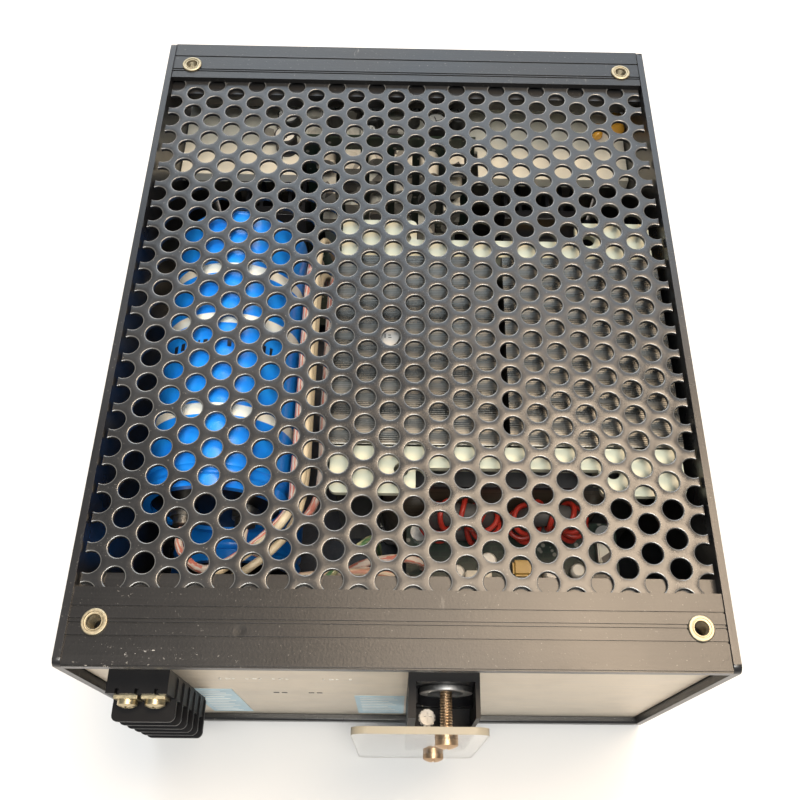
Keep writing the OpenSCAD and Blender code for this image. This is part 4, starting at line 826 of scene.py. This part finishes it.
def print_strokes(face):
    """Short strokes of uneven height in two groups, which spell nothing."""
    made = []
    top = PRINT_BOTTOM + PRINT_HEIGHT
    for start, count in PRINT_GROUPS:
        for k in range(count):
            x = start + k * PRINT_PITCH
            if k not in PRINT_SPACES:
                low, high = PRINT_BOTTOM + k * 7 % 3 * 0.35, top - k * 5 % 3 * 0.35
                made.append(((x, face - PRINT_LIFT, low), (x + PRINT_STROKE, face, top)))
                made.append(((x, face - PRINT_LIFT, high - PRINT_BAR), (x + 0.7 + k % 2 * 0.5, face, high)))
    return made


def front_print():
    """Pale labels, blank lines, strokes and two pairs of dark marks on the front panel."""
    face = span("front_panel")[0].y
    labels = [((left, face - LABEL_LIFT, bottom), (right, face, top)) for left, right, bottom, top in LABELS]
    boxes("panel_labels", labels, MAT["label"])
    boxes("panel_print", label_lines(face) + print_strokes(face), MAT["print"])
    marks = []
    for x in ARROWS:
        for start, end in ((x - ARROW_OUTER, x - ARROW_INNER), (x + ARROW_INNER, x + ARROW_OUTER)):
            marks.append(((start, face - 0.1, ARROW_BOTTOM), (end, face, ARROW_TOP)))
    boxes("panel_marks", marks, MAT["ink"])


STICKER_PLACE = (-4.6, -8.8)
STICKER_RADIUS = 3.3
STICKER_STEPS = 40
# Strokes on the sticker in millimetres: (left, right, front, back)
STICKER_STROKES = ((-5.6, -5.3, -9.4, -7.9), (-4.5, -3.5, -9.3, -9.0), (-4.5, -3.7, -8.5, -8.2))


def core_sticker():
    """A round paper sticker on the left core, with three strokes."""
    top = span("transformer_cores")[1].z
    bm = bmesh.new()
    disc = [(STICKER_RADIUS, -0.02), (STICKER_RADIUS, 0.12), (STICKER_RADIUS - 0.1, 0.15)]
    add_turned(bm, disc, (*STICKER_PLACE, top), STICKER_STEPS)
    piece("core_sticker", bm, MAT["paper"], 30)
    strokes = [((x0, y0, top + 0.1), (x1, y1, top + 0.19)) for x0, x1, y0, y1 in STICKER_STROKES]
    boxes("sticker_marks", strokes, MAT["ink"])


# ---------- Threads ----------

def islands(node):
    """Points of each separate solid of a CAD node, in millimetres."""
    bm = bmesh.new()
    bm.from_mesh(NODES[node].data)
    bm.transform(NODES[node].matrix_world)
    bmesh.ops.remove_doubles(bm, verts=bm.verts, dist=SAME)
    seen, found = set(), []
    for start in bm.verts:
        if start in seen:
            continue
        seen.add(start)
        stack, group = [start], []
        while stack:
            vert = stack.pop()
            group.append(vert.co / MM)
            for edge in vert.link_edges:
                other = edge.other_vert(vert)
                if other not in seen:
                    seen.add(other)
                    stack.append(other)
        found.append(group)
    bm.free()
    return found


def corners(points):
    """Lowest and highest corner of a group of points."""
    return [Vector([pick(p[k] for p in points) for k in range(3)]) for pick in (min, max)]


INSERT_STEPS = 48
INSERT_PITCH = 0.6
INSERT_DEPTH = 0.28


def insert_profile(outer, bore, top, bottom):
    """Half section of an insert: body, rolled flange, inner step and thread, as (radius, height)."""
    flange = [(bore + 1.0, bottom), (bore + 1.0, top - 1.0), (outer, top - 0.9), (outer, top - 0.3),
              (outer - 0.1, top - 0.1), (outer - 0.3, top), (outer - 0.75, top), (outer - 0.85, top - 0.22)]
    step = [(bore + 0.55, top - 0.25), (bore + 0.45, top - 0.05), (bore + 0.25, top - 0.05),
            (bore + 0.05, top - 0.35)]
    thread = []
    z = top - INSERT_PITCH
    while z > bottom + 0.5:
        thread += [(bore, z), (bore + INSERT_DEPTH, z - INSERT_PITCH / 2)]
        z -= INSERT_PITCH
    return flange + step + thread + [(bore, bottom)]


def threaded_rings():
    """The four inserts with a rolled flange, an inner step and thread in the bore."""
    bm = bmesh.new()
    for points in islands("threaded_inserts"):
        lo, hi = corners(points)
        cx, cy = (lo.x + hi.x) / 2, (lo.y + hi.y) / 2
        bore = min(math.hypot(p.x - cx, p.y - cy) for p in points)
        profile = insert_profile((hi.x - lo.x) / 2, bore, hi.z, lo.z)
        sections = [[bm.verts.new(around(cx, cy, k * 360 / INSERT_STEPS, r, z)) for r, z in profile]
                    for k in range(INSERT_STEPS)]
        for one, two in zip(sections, sections[1:] + sections[:1]):
            bridge(bm, one, two)
    made = piece("insert_rings", bm, MAT["insert"], 25)
    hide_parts("threaded_inserts")


THREAD_PITCH = 0.7
THREAD_ROOT = 1.46
THREAD_DEPTH = 0.26
THREAD_STEPS = 20
THREAD_CUTS = 6


def screw_threads():
    """Thread on the two long screws between the clear cover and the terminals."""
    bm = bmesh.new()
    cover_back = span("terminal_cover")[1].y
    for points in islands("terminal_cover_screws"):
        lo, hi = corners(points)
        cx, cz = (lo.x + hi.x) / 2, (lo.z + hi.z) / 2
        rings = []
        for cut in range(int((hi.y - cover_back - 1.0) / THREAD_PITCH * THREAD_CUTS)):
            turns = cut / THREAD_CUTS
            y = cover_back + 0.2 + turns * THREAD_PITCH
            ring = []
            for k in range(THREAD_STEPS):
                part = k / THREAD_STEPS
                radius = THREAD_ROOT + THREAD_DEPTH * abs((turns - part) % 1.0 - 0.5) * 2
                a = 2 * math.pi * part
                x, z = cx + radius * math.cos(a), cz + radius * math.sin(a)
                ring.append(bm.verts.new(Vector((x, y, z)) * MM))
            rings.append(ring)
        capped(bm, rings)
    piece("screw_threads", bm, MAT["screw"], 25)


rear_shelf()
shelf_parts()
threaded_rings()
screw_threads()
front_board_parts()
front_print()
core_sticker()
shelf_beads()

# ---------- Floor, light and camera ----------

FLOOR_SIZE = 12
FLOOR_TONE = (0.60, 0.60, 0.60, 1)
WORLD_TINT = (0.86, 0.92, 1.0, 1)
WORLD_STRENGTH = 0.34
# Each lamp's place, target, size, power in watts and tint
LAMPS = {
    "ceiling": ((0.375, 0.27, 1.64), (0.02, -0.02, 0.1), (0.7, 0.7), 30, (1.0, 0.78, 0.56)),
    "window": ((0.10, 1.32, 1.42), (0, 0, 0.05), (1.5, 0.75), 14, (0.72, 0.86, 1.0)),
    "wall": ((-0.5, 2.0, 0.95), (0, 0, 0.1), (1.8, 0.6), 24, (1.0, 0.97, 0.92)),
    "overhead": ((0.05, -0.50, 1.45), (0, 0, 0.05), (0.7, 0.5), 23, (1.0, 0.98, 0.93)),
}
CAMERA_PLACE = (-0.00041, -0.14397, 0.32950)
CAMERA_TURN = (28.82, -1.058, 0.394)
SENSOR_WIDTH = 36
LENS = 40.148
SHIFT_X, SHIFT_Y = -0.0162, -0.0522
NEAR_CLIP = 0.01


def white_floor():
    bpy.ops.mesh.primitive_plane_add(size=FLOOR_SIZE, location=(0, 0, 0))
    floor = bpy.context.object
    floor.name = "floor"
    look = Look("floor_white", 0.8)
    look.bsdf.inputs["Specular IOR Level"].default_value = 0.0
    look.bsdf.inputs["Base Color"].default_value = FLOOR_TONE
    floor.data.materials.append(look.mat)


def surroundings():
    world = bpy.data.worlds.new("studio")
    bpy.context.scene.world = world
    world.use_nodes = True
    back = world.node_tree.nodes["Background"]
    back.inputs["Color"].default_value = WORLD_TINT
    back.inputs["Strength"].default_value = WORLD_STRENGTH


def lamp(name, place, target, size, power, tint):
    data = bpy.data.lights.new(name, "AREA")
    data.shape = "RECTANGLE"
    data.size, data.size_y = size
    data.energy = power
    data.color = tint
    obj = bpy.data.objects.new(name, data)
    obj.location = place
    obj.rotation_euler = (Vector(target) - Vector(place)).to_track_quat("-Z", "Y").to_euler()
    bpy.context.scene.collection.objects.link(obj)


def camera():
    data = bpy.data.cameras.new("camera")
    obj = bpy.data.objects.new("camera", data)
    bpy.context.scene.collection.objects.link(obj)
    obj.location = CAMERA_PLACE
    obj.rotation_euler = [math.radians(a) for a in CAMERA_TURN]
    data.sensor_width = SENSOR_WIDTH
    data.lens = LENS
    data.shift_x = SHIFT_X
    data.shift_y = SHIFT_Y
    data.clip_start = NEAR_CLIP
    bpy.context.scene.camera = obj


white_floor()
surroundings()
for lamp_name, settings in LAMPS.items():
    lamp(lamp_name, *settings)
camera()
bpy.context.scene.view_settings.view_transform = "Standard"
